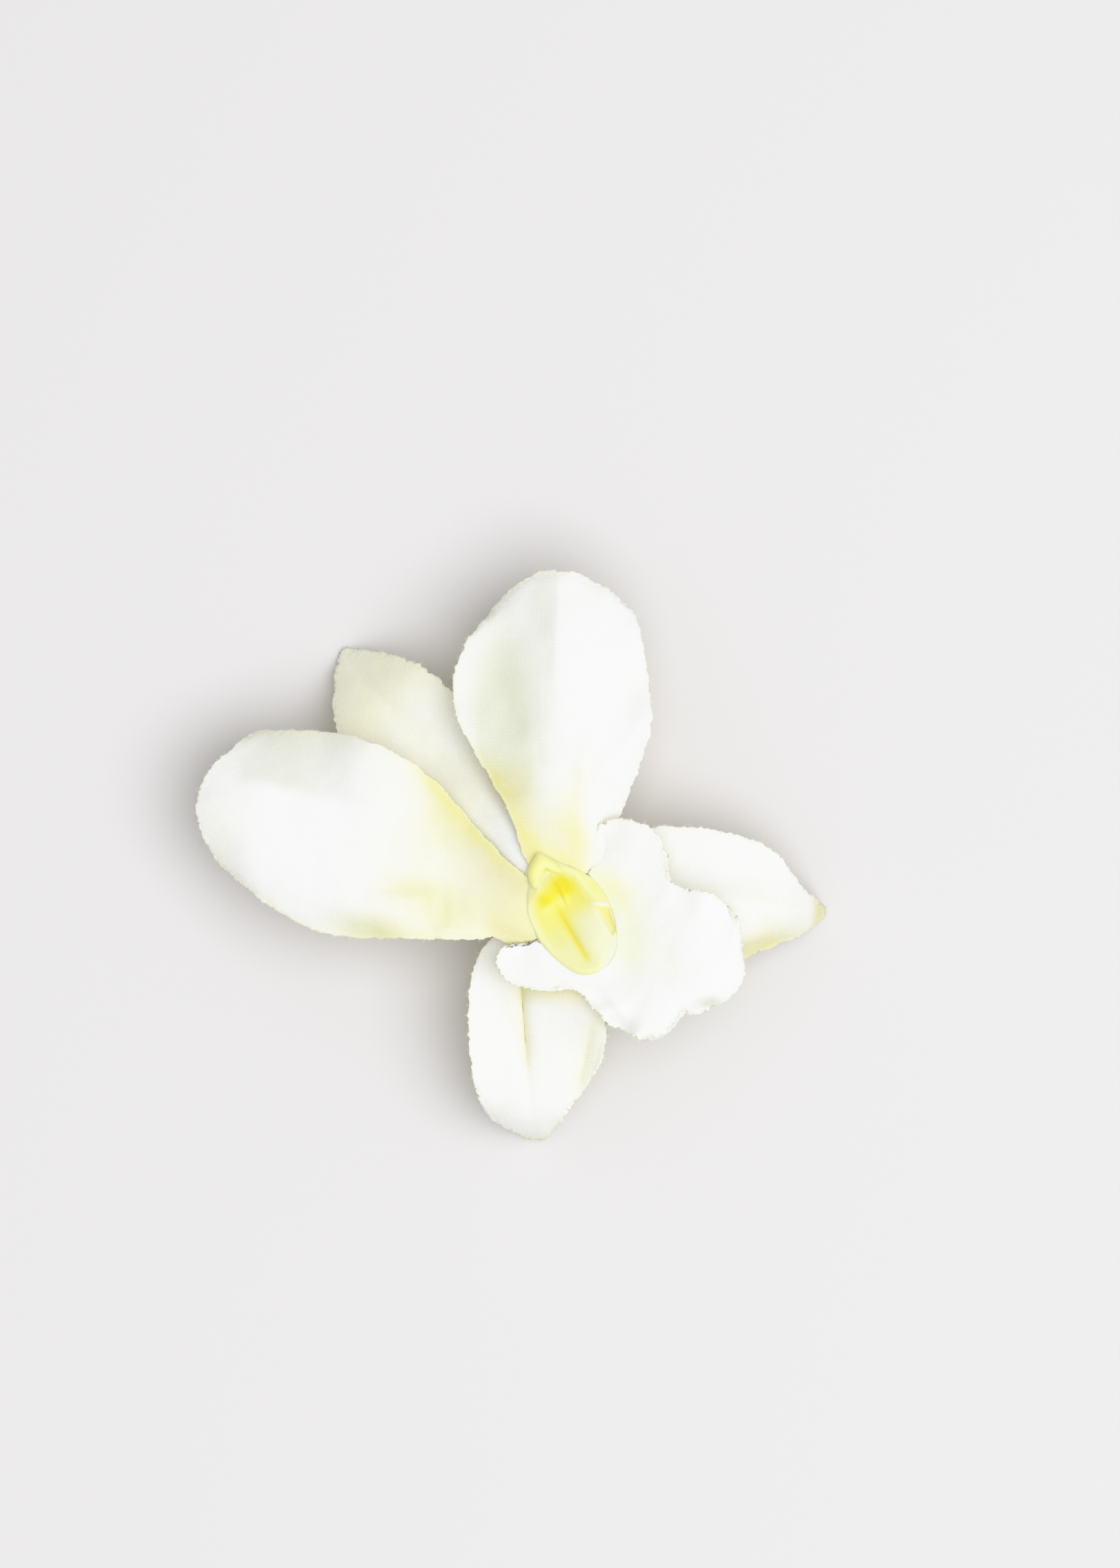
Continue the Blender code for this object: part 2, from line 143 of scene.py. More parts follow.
LIP = (
    (BLADE_START, 0.0, 5.6, 0.9, 0.9, 0.0, 0.0, 0.0),
    (2.4, 0.0, 5.8, 5.0, 5.2, 0.8, 0.8, 1.2),
    (3.4, 0.0, 6.0, 10.2, 10.6, 1.6, 1.6, 4.4),
    (5.0, 0.6, 6.1, 12.5, 12.6, 1.8, 1.8, 4.0),
    (7.2, 1.6, 6.3, 12.6, 12.4, 1.8, 1.8, 2.6),
    (9.3, 1.6, 6.7, 11.0, 9.9, 1.6, 1.6, 1.2),
    (11.6, 1.3, 7.4, 8.7, 9.4, 1.2, 1.2, 0.4),
    (14.6, 1.4, 8.5, 10.0, 10.6, 0.6, 0.6, 0.4),
    (18.0, 1.6, 9.5, 10.3, 10.3, -0.4, -0.4, 1.0),
    (21.4, 2.4, 9.9, 9.0, 10.6, -1.4, -1.4, 2.8),
    (24.0, 3.5, 9.2, 7.4, 10.9, -1.8, -1.8, 4.8),
    (25.3, 4.2, 8.4, 6.0, 9.7, -1.8, -1.8, 5.6),
)
LIP_ROOT = 1.2
LIP_ROOT_SLOPE = 0.32
LIP_ROOT_SPREAD = 0.04
LIP_CLIMB = (0.97, 1.02)
LIP_BELOW_EDGE = 0.12

# The scallops of the lip's middle lobe: direction from its centre in degrees, how far out, width in degrees
LOBE_CENTRE = (15.5, 1.2)
SCALLOPS = (
    (-118.0, 0.35, 10.0),
    (-57.0, 1.1, 10.0),
    (-33.0, -1.2, 9.0),
    (-3.0, -0.55, 7.0),
    (62.0, 0.8, 12.0),
)

# What marks each blade. A swell is a height, length and seed. A dip, a curl of the edge or a patch of colour
# is a height or strength, a centre along and across the blade, a reach both ways and, where askew, a turn in
# degrees. A crease is a height, start, end, left and right widths and, where it isn't the usual, a rounding.
# Late dips come after the blade has been raised beside the column.
# The shade patches are painted shade; the yellow patches that lie where a shade patch lies are partly painted
# warm shade, and the upper petal's green patch is painted shade.
UPPER_PETAL_MARKS = {
    "swell": (0.1, 7.0, 21),
    "dips": ((-0.7, (25.0, 7.5), (7.0, 3.2), 12.0), (-0.55, (26.4, -8.6), (3.0, 2.2), -25.0)),
    "curl_reach": 1.2,
    "curls": ((1.2, (33.5, 10.5), (6.0, 6.0)), (0.96, (23.0, 12.0), (2.2, 4.0))),
    "creases": (
        (1.0, (27.0, 1.0), (44.0, 1.0), 1.8, 7.0),
        (0.5, (15.0, -3.5), (24.5, -11.5), 1.4, 3.2),
        (0.3, (3.0, -2.2), (20.0, -3.0), 0.9, 0.9),
        (-0.3, (3.0, 1.2), (22.0, 3.2), 1.1, 1.1),
    ),
    "yellow": (
        (0.35, (6.5, -3.5), (3.0, 2.5)),
        (0.2, (42.0, 2.0), (2.6, 2.6)),
        (0.1, (40.0, -5.5), (2.0, 4.0)),
    ),
    "green": ((0.3, (25.0, 7.0), (9.0, 4.5)),),
    "shade": (
        (0.95, (25.0, 6.8), (12.0, 4.6), 12.0),
        (0.5, (36.5, 3.0), (5.0, 1.8)),
        (0.3, (26.4, -9.0), (2.8, 2.0), -25.0),
        (0.8, (15.0, 7.0), (4.5, 2.8), 30.0),
        (0.55, (22.0, 10.0), (8.0, 2.6)),
        (0.35, (17.5, 5.0), (4.5, 3.0)),
    ),
}
LEFT_PETAL_MARKS = {
    "swell": (0.1, 7.0, 22),
    "dips": ((-0.7, (18.5, 2.8), (4.5, 1.2), 12.0), (-0.5, (18.0, -8.0), (7.0, 2.6), 30.0)),
    "curl_reach": 1.2,
    "curls": ((1.5, (44.0, -8.0), (3.5, 4.0)),),
    "creases": (
        (0.9, (8.0, 6.3), (13.5, 7.0), 0.7, 1.2),
        (-0.15, (21.0, 3.8), (30.0, 4.8), 0.5, 0.5),
        (-0.15, (23.0, 5.2), (29.0, 6.4), 0.4, 0.4),
    ),
    "yellow": (
        (0.2, (20.0, 9.0), (5.5, 1.7), -4.0),
        (0.25, (13.0, 4.5), (4.0, 2.2)),
        (0.25, (18.5, 2.8), (4.0, 1.6)),
        (0.15, (43.5, 1.5), (3.0, 5.0)),
    ),
    "shade": (
        (1.1, (22.5, 9.3), (6.0, 2.2), -4.0),
        (0.35, (18.5, 2.8), (4.0, 1.4), 12.0),
        (0.35, (13.0, 4.5), (4.0, 2.2)),
    ),
}
DORSAL_SEPAL_MARKS = {"swell": (0.14, 8.0, 23)}
RIGHT_SEPAL_MARKS = {
    "swell": (0.12, 8.0, 24),
    "dips": ((-0.5, (23.5, 3.6), (4.0, 1.8), -8.0), (-1.1, (27.0, -5.2), (4.5, 1.8), 18.0)),
    "curl_reach": 0.9,
    "curls": ((0.8, (30.0, 3.8), (4.0, 4.0)),),
    "creases": ((0.7, (11.0, 1.8), (33.0, -0.5), 1.4, 3.0, 0.5),),
    "yellow": ((0.14, (27.0, 0.0), (7.0, 4.5)), (0.65, (26.0, -5.6), (6.0, 2.0), 18.0)),
    "shade": (
        (1.6, (26.0, -5.6), (6.0, 2.0), 18.0),
        (0.2, (24.0, 3.2), (4.0, 1.6)),
        (0.35, (28.5, -2.0), (3.0, 1.6)),
    ),
}
LOWER_SEPAL_MARKS = {
    "swell": (0.12, 8.0, 25),
    "dips": (),
    "curl_reach": 0.9,
    "curls": ((0.7, (20.0, 7.0), (5.0, 3.0)),),
    "creases": (
        (-1.9, (9.0, -4.0), (20.0, -2.6), 0.7, 1.5, 0.12),
        (-0.4, (17.0, -3.0), (28.0, -1.4), 0.7, 1.2),
        (-0.6, (16.0, 5.4), (24.5, 4.2), 1.0, 1.2),
    ),
    "late_dips": ((1.2, (9.5, -7.0), (3.0, 2.5)), (-0.2, (27.0, -4.6), (1.6, 2.4), 35.0)),
    "shade": (
        (0.3, (14.5, -5.6), (3.5, 1.1), 20.0),
        (0.25, (26.8, -4.8), (1.4, 2.4), 35.0),
        (0.15, (30.6, 0.0), (0.8, 1.6)),
    ),
}
LIP_MARKS = {
    "swell": (0.12, 7.0, 31),
    "dips": (
        (-2.5, (0.0, 9.3), (2.8, 4.0)),
        (-1.3, (0.3, -7.8), (2.2, 2.8)),
        (-1.0, (11.8, -7.6), (1.8, 1.2), 20.0),
        (-1.2, (15.5, -8.6), (2.4, 1.2), 15.0),
        (-0.3, (24.0, 4.6), (1.4, 1.4)),
        (-1.4, (22.9, -0.4), (1.6, 1.0), 50.0),
    ),
    "curl_reach": 1.0,
    "curls": (),
    "creases": ((0.5, (10.5, -5.6), (15.5, -7.0), 1.0, 0.7),),
    "yellow": ((0.45, (6.3, 5.6), (3.2, 2.4)), (0.12, (10.5, 1.4), (4.5, 3.6), -20.0)),
    "green": ((0.75, (10.5, 1.4), (4.5, 3.6), -20.0), (0.3, (17.0, 0.5), (2.5, 2.5))),
    "shade": (
        (0.25, (11.6, -7.9), (1.6, 1.0)),
        (0.45, (15.0, -9.2), (2.4, 0.9)),
        (1.0, (23.4, 0.3), (2.0, 1.1), 50.0),
    ),
}

# The column's oval cup: its centre and reach along and across, and its heights over the hub
COLUMN_CENTRE = (2.4, 0.6)
COLUMN_REACH = (8.1, 5.1)
COLUMN_STEPS = 256
CUP_FLOOR_HEIGHT = 5.0
CUP_FLOOR_RISE = 2.1
CUP_FLOOR_RISES_BETWEEN = (0.0, 8.0)
RIM_HEIGHT = 6.7
RIM_FRONT_RISE = 1.1
RIM_REAR_RISE = 2.6
HOOD_DROP = 0.45
SIDE_DROP = 0.3
FOOT_RADIUS = 1.0
FOOT_HEIGHT = 4.7
FOOT_SIDES = 32

# Inside the cup, along and across it: the hollows under the hood and the low lip in front of them, the ridge,
# the groove on its left, and the pit on its right with a flap at its rear end
HOLLOWS = ((1.0, (-1.2, 1.4), (1.6, 1.3)), (0.8, (-1.0, -1.5), (1.1, 1.0)))
HOLLOW_DEPTH = 0.5
HOOD_LIP = ((0.5, 1.6), (0.6, -3.0), 0.3, 0.4)
HOOD_LIP_HEIGHT = 0.12
RIDGE_HEIGHT = 0.45
GROOVE_DEPTH = 0.25
PIT_DEPTH = 0.45
FLAP = ((2.7, 3.6), (4.0, 5.3), 0.12, 0.12, 0.1)
FLAP_HEIGHT = 0.25

# The anther cap on the hood's rear rim
CAP_WIDTH = 2.4
CAP_HEIGHT = 1.65
CAP_DEPTH = 0.7
CAP_LEFT_SPAN = 46.0
CAP_RIGHT_SPAN = 44.0
CAP_LEAN = 1.1
CAP_SEAT = 0.3
CAP_NIB = 0.4
CAP_NOTCH = 0.4
CAP_NIB_PLACE = (0.12, 0.2)

# The pedicel's centre line and radius: x, y, height over the hub, radius
PEDICEL = (
    (0.0, 0.0, -0.3, 2.5),
    (0.0, 0.0, -0.9, 2.5),
    (0.0, -0.1, -2.2, 1.75),
    (0.0, -0.4, -4.0, 1.35),
    (-0.1, -1.6, -6.2, 1.2),
    (-0.3, -3.8, -8.0, 1.2),
    (-0.7, -7.0, -8.75, 1.2),
    (-1.2, -11.0, -8.8, 1.2),
    (-1.7, -15.5, -8.8, 1.2),
    (-2.0, -20.0, -8.8, 1.2),
    (-2.1, -22.6, -8.5, 1.5),
    (-2.1, -24.0, -8.5, 1.5),
)
PEDICEL_RINGS = 140
PEDICEL_SIDES = 32
PEDICEL_RIBS = 9
PEDICEL_RIB_HEIGHT = 0.025

# The photograph's view: a long lens straight above the flower, which sits low in a tall frame
FRAME_HEIGHT = 199.0
FRAME_CENTRE = (6.06, 9.33)
FLOWER_LEVEL = 14.0
CAMERA_DISTANCE = 1000.0
SENSOR_WIDTH = 36.0

# The floor, in metres, and the light: a wide softbox above and to the right, in an even pale surround
GROUND_SIZE = 6.0
GROUND_GAP = 0.0002
WORLD_STRENGTH = 0.5
KEY_PLACE = (0.3, -0.12, 1.0)
KEY_SIZE = 1.2
KEY_POWER = 11.0

# How bright light is shown: highlights roll off softly below white
TONES = ((0.7, 0.7), (0.8, 0.79), (0.9, 0.865), (1.0, 0.92), (1.1, 0.95), (1.4, 0.985))
TONE_WHITE = TONES[-1][0]


def ease(value, start, end):
    """A smooth step from 0 at start to 1 at end."""
    share = np.clip((value - start) / (end - start), 0.0, 1.0)
    return share * share * (3 - 2 * share)


def bump(value, centre, reach):
    """A soft hill of height 1 at the centre."""
    return np.exp(-(((value - centre) / reach) ** 2))


def oval(forward, side, centre, reach, turn=0.0):
    """A soft oval patch, 1 in its middle, whose first reach lies at this many degrees to the blade."""
    cosine, sine = math.cos(math.radians(turn)), math.sin(math.radians(turn))
    ahead, beside = forward - centre[0], side - centre[1]
    long_way, short_way = ahead * cosine + beside * sine, beside * cosine - ahead * sine
    return np.exp(-((long_way / reach[0]) ** 2) - (short_way / reach[1]) ** 2)


def patches(forward, side, marks):
    """Soft ovals added up, each of its own strength."""
    return sum(strength * oval(forward, side, *place) for strength, *place in marks)


def fold(forward, side, start, end, left, right, rounding=0.25):
    """A crease from start to end: 1 on its line, fading over one width on its left and one on its right."""
    length = math.dist(start, end)
    cosine, sine = (end[0] - start[0]) / length, (end[1] - start[1]) / length
    ahead, beside = forward - start[0], side - start[1]
    along = (ahead * cosine + beside * sine) / length
    off = beside * cosine - ahead * sine
    away = np.hypot(off, rounding) - rounding
    ends = ease(along, -0.2, 0.25) * (1 - ease(along, 0.75, 1.2))
    return np.exp(-away / np.where(off > 0, left, right)) * ends


def bend(forward, side, start, end, rounding=0.6):
    """How far a point lies to the left of the line from start to end, rounded over it, and 0 on its right."""
    length = math.dist(start, end)
    cosine, sine = (end[0] - start[0]) / length, (end[1] - start[1]) / length
    off = (side - start[1]) * cosine - (forward - start[0]) * sine
    return (off + np.hypot(off, rounding) - rounding) / 2


def undulation(x, y, length, seed):
    """A smooth random surface, mostly between -1 and 1, whose waves are about this long."""
    draw = np.random.default_rng(seed)
    headings = draw.uniform(0, 2 * np.pi, WAVES_ADDED)
    phases = draw.uniform(0, 2 * np.pi, WAVES_ADDED)
    stretches = draw.uniform(0.7, 1.5, WAVES_ADDED)
    total = 0.0
    for heading, phase, stretch in zip(headings, phases, stretches):
        along = x * np.cos(heading) + y * np.sin(heading)
        total = total + np.sin(2 * np.pi * along / (length * stretch) + phase)
    return total / WAVES_REACH


def sections(stations, u):
    """The stations' rows read at each u, from 0 at the base to 1 at the tip, on a smooth curve."""
    rows = np.array(stations, float)
    place = np.clip(u, 0.0, 1.0) * (len(rows) - 1)
    k = np.minimum(place.astype(int), len(rows) - 2)
    t = (place - k)[:, None]
    padded = np.vstack((2 * rows[0] - rows[1], rows, 2 * rows[-1] - rows[-2]))
    before, start, end, after = (padded[k + step] for step in range(4))
    slope_in, slope_out = (end - before) / 2, (after - start) / 2
    return (
        start * (2 * t**3 - 3 * t**2 + 1)
        + slope_in * (t**3 - 2 * t**2 + t)
        + end * (3 * t**2 - 2 * t**3)
        + slope_out * (t**3 - t**2)
    )


def placed(forward, side, up, angle):
    """Points this far along and across a direction from the hub, in metres."""
    turn = math.radians(angle)
    x = HUB[0] + forward * math.cos(turn) - side * math.sin(turn)
    y = HUB[1] + forward * math.sin(turn) + side * math.cos(turn)
    return MM * np.stack((x, y, HUB[2] + up), axis=-1)


def column_frame(forward, side, angle):
    """Distances along and across a blade, turned into distances along and across the column."""
    turn = math.radians(angle - COLUMN_AT)
    along = forward * math.cos(turn) - side * math.sin(turn)
    across = forward * math.sin(turn) + side * math.cos(turn)
    return along, across


def waist(cosine, sine):
    """How wide the column is beside a full oval: narrower beside its hood, and blunt at its lower left."""
    left = 0.98 - 0.17 * bump(cosine, -0.72, 0.25) + 0.45 * np.maximum(cosine, 0.0) ** 6
    right = 0.95 - 0.28 * bump(cosine, -0.78, 0.33)
    return left + (right - left) * ease(sine, -0.3, 0.3)


def column_share(along, across):
    """How far out a point lies in the column, where 1 is its edge, and its direction's cosine and sine."""
    x = (along - COLUMN_CENTRE[0]) / COLUMN_REACH[0]
    y = (across - COLUMN_CENTRE[1]) / COLUMN_REACH[1]
    rough = np.maximum(np.hypot(x, y), 1e-6)
    width = waist(x / rough, y / rough)
    share = np.maximum(np.hypot(x, y / width), 1e-6)
    return share, x / share, y / width / share


def crest_share(cosine, sine):
    """How far out the rim's crest lies: near the edge in front, well inside on the hood and right flank."""
    flank = ease(sine, 0.1, 0.6) * (1 - ease(cosine, 0.3, 0.8)) * ease(cosine, -0.65, -0.2)
    hood = ease(-cosine, 0.35, 0.85) * (1 - 0.75 * ease(sine, 0.2, 0.7))
    return 0.94 - 0.22 * np.maximum(hood, flank)


def crest_height(cosine):
    """The height of the rim's crest: lowest at the sides, higher in front and highest on the hood."""
    rear = RIM_REAR_RISE * ease(-cosine, 0.2, 0.95)
    return RIM_HEIGHT + RIM_FRONT_RISE * np.maximum(cosine, 0.0) ** 2 + rear


def edge_height(cosine, sine):
    """The height of the column's outer edge: just below the crest, and level with it at the front right."""
    drop = SIDE_DROP + (HOOD_DROP - SIDE_DROP) * ease(-cosine, 0.35, 0.85)
    level = ease(cosine, 0.1, 0.6) * ease(sine, 0.1, 0.5)
    return crest_height(cosine) - drop * (1 - 0.85 * level)


def beside_column(forward, side, up, angle, below, until, climb=(0.62, 0.97)):
    """Raises a blade where it runs in under the column's edge, so that it lies close round it."""
    along, across = column_frame(forward, side, angle)
    share, cosine, sine = column_share(along, across)
    close = edge_height(cosine, sine) - below
    return up + (close - up) * (1 - ease(share, 1.0, until)) * ease(share, *climb)


def vertices_of(mesh):
    """The mesh's points, a row for each."""
    flat = np.empty(len(mesh.vertices) * 3)
    mesh.vertices.foreach_get("co", flat)
    return flat.reshape(-1, 3)


def set_vertices(mesh, points):
    """Moves the mesh's points to these places."""
    mesh.vertices.foreach_set("co", np.ascontiguousarray(points, np.float32).ravel())
    mesh.update()


def set_mask(mesh, name, values):
    """Keeps one number for each vertex, which the materials read by name."""
    made = mesh.attributes.new(name, "FLOAT", "POINT")
    for_each = np.broadcast_to(values, len(mesh.vertices))
    made.data.foreach_set("value", np.ascontiguousarray(for_each, np.float32))


def set_cloth_map(mesh, forward, side):
    """Lays the cloth's threads: the map's unit is one centimetre along and across the blade."""
    corners = np.empty(len(mesh.loops), np.int32)
    mesh.loops.foreach_get("vertex_index", corners)
    laid = np.stack((forward, side), axis=-1)[corners] / 10
    mesh.uv_layers.new(name="cloth").data.foreach_set("uv", np.ascontiguousarray(laid, np.float32).ravel())


def edge_distance(forward, side, border):
    """Each vertex's distance from the blade's outline, in millimetres."""
    rim = np.flatnonzero(border)
    tree = KDTree(len(rim))
    for vertex in rim:
        tree.insert((forward[vertex], side[vertex], 0.0), int(vertex))
    tree.balance()
    return np.array([tree.find((x, y, 0.0))[2] for x, y in zip(forward, side)])


def piece(name, mesh, node, slot, *materials):
    """An object that rides with the flower and stands for a CAD node, where one is named."""
    made = bpy.data.objects.new(name, mesh)
    bpy.context.scene.collection.objects.link(made)
    for finish in materials:
        made.data.materials.append(finish)
    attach(made, "root")
    if node:
        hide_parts(node)
    return made


def thicken(made, thickness, back=0):
    """Gives a surface a front and a back, half the thickness on each side, with the back's own material."""
    solid = made.modifiers.new("thickness", "SOLIDIFY")
    solid.thickness = thickness * MM
    solid.offset = 0.0
    solid.material_offset = back


def seen(*levels):
    """A colour's red, green and blue as seen on a screen, from 11 to 255, as the shaders take them."""
    return tuple(((level / 255 + 0.055) / 1.055) ** 2.4 for level in levels)


class Nodes:
    """Short words for building a material's node tree."""

    def __init__(self, name):
        self.material = bpy.data.materials.new(name)
        self.material.use_nodes = True
        self.tree = self.material.node_tree
        self.shader = self.tree.nodes["Principled BSDF"]

    def set(self, socket, value):
        if hasattr(value, "is_linked"):
            self.tree.links.new(value, socket)
        else:
            socket.default_value = value

    def new(self, kind, out=0, settings=(), **inputs):
        node = self.tree.nodes.new(kind)
        for key, value in settings:
            setattr(node, key, value)
        for key, value in inputs.items():
            self.set(node.inputs[int(key[1:]) if key[1:].isdigit() else key.replace("_", " ")], value)
        return node.outputs[out]

    def math(self, operation, first, second=0.0, third=0.0, clamp=False):
        settings = (("operation", operation), ("use_clamp", clamp))
        return self.new("ShaderNodeMath", 0, settings, i0=first, i1=second, i2=third)

    def mix(self, share, first, second):
        settings = (("data_type", "RGBA"),)
        colours = [value if hasattr(value, "is_linked") else (*value, 1.0) for value in (first, second)]
        return self.new("ShaderNodeMix", 2, settings, i0=share, i6=colours[0], i7=colours[1])

    def tinted(self, colour, tint):
        settings = (("data_type", "RGBA"), ("blend_type", "MULTIPLY"))
        return self.new("ShaderNodeMix", 2, settings, i0=1.0, i6=colour, i7=(*tint, 1.0))

    def mask(self, name):
        return self.new("ShaderNodeAttribute", "Fac", (("attribute_name", name),))

    def noise(self, where, scale, detail=2.0):
        return self.new("ShaderNodeTexNoise", "Fac", (), Vector=where, Scale=scale, Detail=detail)

    def wave(self, where, direction, scale):
        uneven = {"Distortion": 0.6, "Detail": 1.0}
        settings = (("bands_direction", direction),)
        return self.new("ShaderNodeTexWave", "Fac", settings, Vector=where, Scale=scale, **uneven)

    def stretched(self, where, along, across):
        return self.new("ShaderNodeMapping", 0, (), Vector=where, Scale=(along, across, 1.0))

    def ramp(self, value, low, high, to_low=0.0, to_high=1.0):
        return self.new("ShaderNodeMapRange", 0, (), i0=value, i1=low, i2=high, i3=to_low, i4=to_high)

    def relief(self, height, strength, distance):
        bumps = self.new("ShaderNodeBump", 0, (), Strength=strength, Distance=distance, Height=height)
        self.set(self.shader.inputs["Normal"], bumps)

    def finish(self, colour, roughness):
        self.set(self.shader.inputs["Base Color"], colour)
        self.set(self.shader.inputs["Roughness"], roughness)

    def glow(self, weight, radius, scale):
        """Light that enters the surface and comes out close by."""
        self.shader.inputs["Subsurface Weight"].default_value = weight
        self.shader.inputs["Subsurface Radius"].default_value = radius
        self.shader.inputs["Subsurface Scale"].default_value = scale


CLOTH_WHITE = seen(251, 252, 248)
CLOTH_YELLOW = seen(246, 238, 165)
CLOTH_GREEN = seen(238, 246, 212)
# The grey-green tint of painted shade, for where a blade lies in shade
CLOTH_SHADE = seen(226, 227, 216)
CLOTH_CREAM = seen(236, 228, 192)
CLOTH_EDGE = seen(240, 238, 200)
THREAD_PALE = seen(240, 236, 200)
THREAD_WHITE = seen(250, 250, 240)
THROAT_DEEP = seen(253, 226, 55)
THROAT_MID = seen(253, 240, 135)
THROAT_PALE = seen(255, 253, 196)
THROAT_GREEN = seen(245, 250, 205)
THROAT_FLANK = seen(253, 246, 150)
THROAT_RIM = seen(252, 247, 172)
CAP_LIME = seen(246, 241, 150)
CAP_PALE = seen(249, 244, 170)
STALK_GREEN = seen(142, 172, 62)
STALK_YELLOW = seen(206, 212, 110)
STALK_DARK = seen(112, 150, 50)
STALK_CUT = seen(214, 214, 150)
GROUND_PALE = seen(221, 219, 220)


def cloth(name, base, back=False):
    """Woven satin: grain and threads along the blade, yellow and green partly dye and partly painted warm
    shade, painted grey shade, and a tint at its cut edge.
    """
    n = Nodes(name)
    where = n.new("ShaderNodeUVMap", 0, (("uv_map", "cloth"),))
    grain = n.noise(n.stretched(where, 14.0, 34.0), 1.0, 3.0)
    threads = n.math("MULTIPLY", n.wave(where, "Y", 8.4), n.wave(where, "X", 7.2))
    blotch = n.noise(where, 1.6, 2.0)
    yellow = n.math("MULTIPLY", n.mask("yellow"), n.ramp(blotch, 0.2, 0.8, 0.75, 1.2), clamp=True)
    green = n.math("MULTIPLY", n.mask("green"), n.ramp(blotch, 0.2, 0.8, 0.7, 1.2), clamp=True)
    # The yellow and green are dye, and in places painted warm shade
    colour = n.mix(yellow, base, CLOTH_YELLOW)
    colour = n.mix(green, colour, CLOTH_GREEN)
    # Painted shade: the shade mask darkens the colour where the blade lies in shade or in a neighbour's
    # shadow
    colour = n.mix(n.mask("shade"), colour, n.tinted(colour, CLOTH_SHADE))
    by_edge = n.ramp(n.mask("edge"), 0.0, 0.55, 0.55, 0.0)
    tinge = n.math("MULTIPLY", by_edge, n.ramp(n.noise(where, 6.0), 0.3, 0.7, 0.4, 1.2))
    colour = n.mix(tinge, colour, CLOTH_EDGE)
    thread_shade = n.math("MULTIPLY", threads, 0.45 if back else 0.35)
    shade = n.ramp(n.math("ADD", n.math("MULTIPLY", grain, 0.6), thread_shade), 0.1, 0.9)
    shade = n.ramp(shade, 0.0, 1.0, 0.88 if back else 0.925, 1.03)
    shaded = n.new("ShaderNodeVectorMath", 0, (("operation", "SCALE"),), i0=colour, i3=shade)
    n.finish(shaded, n.ramp(grain, 0.3, 0.7, 0.62, 0.8))
    thread_relief = n.math("MULTIPLY", threads, 0.5 if back else 0.45)
    n.relief(n.math("ADD", n.math("MULTIPLY", grain, 0.7), thread_relief), 0.5, 0.00008)
    n.shader.inputs["Sheen Weight"].default_value = 0.15
    n.shader.inputs["Sheen Roughness"].default_value = 0.5
    n.shader.inputs["Specular IOR Level"].default_value = 0.25
    n.glow(0.35, (1.0, 0.95, 0.7), 0.0012)
    return n.material


def thread():
    """A single loose fibre of the cloth: pale, slightly glossy, a little yellower than the blade."""
    n = Nodes("loose_thread")
    where = n.new("ShaderNodeTexCoord", "Object")
    shade = n.ramp(n.noise(where, 300.0), 0.3, 0.7)
    n.finish(n.mix(shade, THREAD_WHITE, THREAD_PALE), n.ramp(shade, 0.0, 1.0, 0.5, 0.6))
    return n.material


def moulded_yellow():
    """The column's smooth wax-like finish, deep yellow in its hollows, partly painted shade, and pale on its
    ridge and rim.
    """
    n = Nodes("column_plastic")
    where = n.new("ShaderNodeTexCoord", "Object")
    clouds = n.noise(where, 260.0, 2.0)
    # The deep yellow is partly the plastic's own colour and partly painted shade in its recesses
    deep = n.math("MULTIPLY", n.mask("deep"), n.ramp(clouds, 0.2, 0.8, 0.9, 1.1), clamp=True)
    colour = n.mix(n.mask("rim"), THROAT_MID, THROAT_RIM)
    colour = n.mix(deep, colour, THROAT_DEEP)
    colour = n.mix(n.mask("flank"), colour, THROAT_FLANK)
    colour = n.mix(n.mask("pale"), colour, THROAT_PALE)
    colour = n.mix(n.mask("green"), colour, THROAT_GREEN)
    n.finish(colour, n.ramp(clouds, 0.3, 0.7, 0.38, 0.5))
    n.relief(n.noise(where, 900.0, 3.0), 0.2, 0.0001)
    n.shader.inputs["Specular IOR Level"].default_value = 0.35
    n.glow(0.5, (1.0, 0.8, 0.25), 0.0025)
    return n.material


def moulded_lime():
    """The anther cap: the same wax-like finish, pale greenish yellow."""
    n = Nodes("cap_plastic")
    where = n.new("ShaderNodeTexCoord", "Object")
    clouds = n.noise(where, 400.0, 2.0)
    n.finish(n.mix(n.ramp(clouds, 0.3, 0.7), CAP_LIME, CAP_PALE), n.ramp(clouds, 0.3, 0.7, 0.4, 0.5))
    n.shader.inputs["Specular IOR Level"].default_value = 0.35
    n.glow(0.5, (1.0, 0.9, 0.35), 0.002)
    return n.material


def moulded_green():
    """The pedicel: yellow-green with faint lengthwise streaks, yellower towards the flower."""
    n = Nodes("pedicel_plastic")
    where = n.new("ShaderNodeTexCoord", "Object")
    streaks = n.noise(n.stretched(where, 1.0, 0.25), 1400.0, 3.0)
    clouds = n.noise(where, 180.0, 3.0)
    colour = n.mix(n.mask("towards_flower"), STALK_GREEN, STALK_YELLOW)
    colour = n.mix(n.ramp(clouds, 0.35, 0.75, 0.0, 0.5), colour, STALK_DARK)
    colour = n.mix(n.mask("cut"), colour, STALK_CUT)
    n.finish(colour, n.ramp(streaks, 0.3, 0.7, 0.36, 0.52))
    n.relief(streaks, 0.35, 0.00012)
    n.glow(0.15, (0.6, 1.0, 0.2), 0.001)
    return n.material


def grid_mesh(name, rows, columns):
    """A square grid with the place of each vertex along and across it."""
    shape = bmesh.new()
    bmesh.ops.create_grid(shape, x_segments=rows, y_segments=columns, size=1.0)
    mesh = bpy.data.meshes.new(name)
    shape.to_mesh(mesh)
    shape.free()
    mesh.shade_smooth()
    flat = vertices_of(mesh)
    return mesh, (flat[:, 0] + 1) / 2, flat[:, 1]


def fraying(forward, side, seed):
    """The unevenness of a cut edge: fine waves on longer ones."""
    fine, long = FRAY_LENGTHS
    return undulation(forward, side, fine, seed) + undulation(forward, side, long, seed + 1)


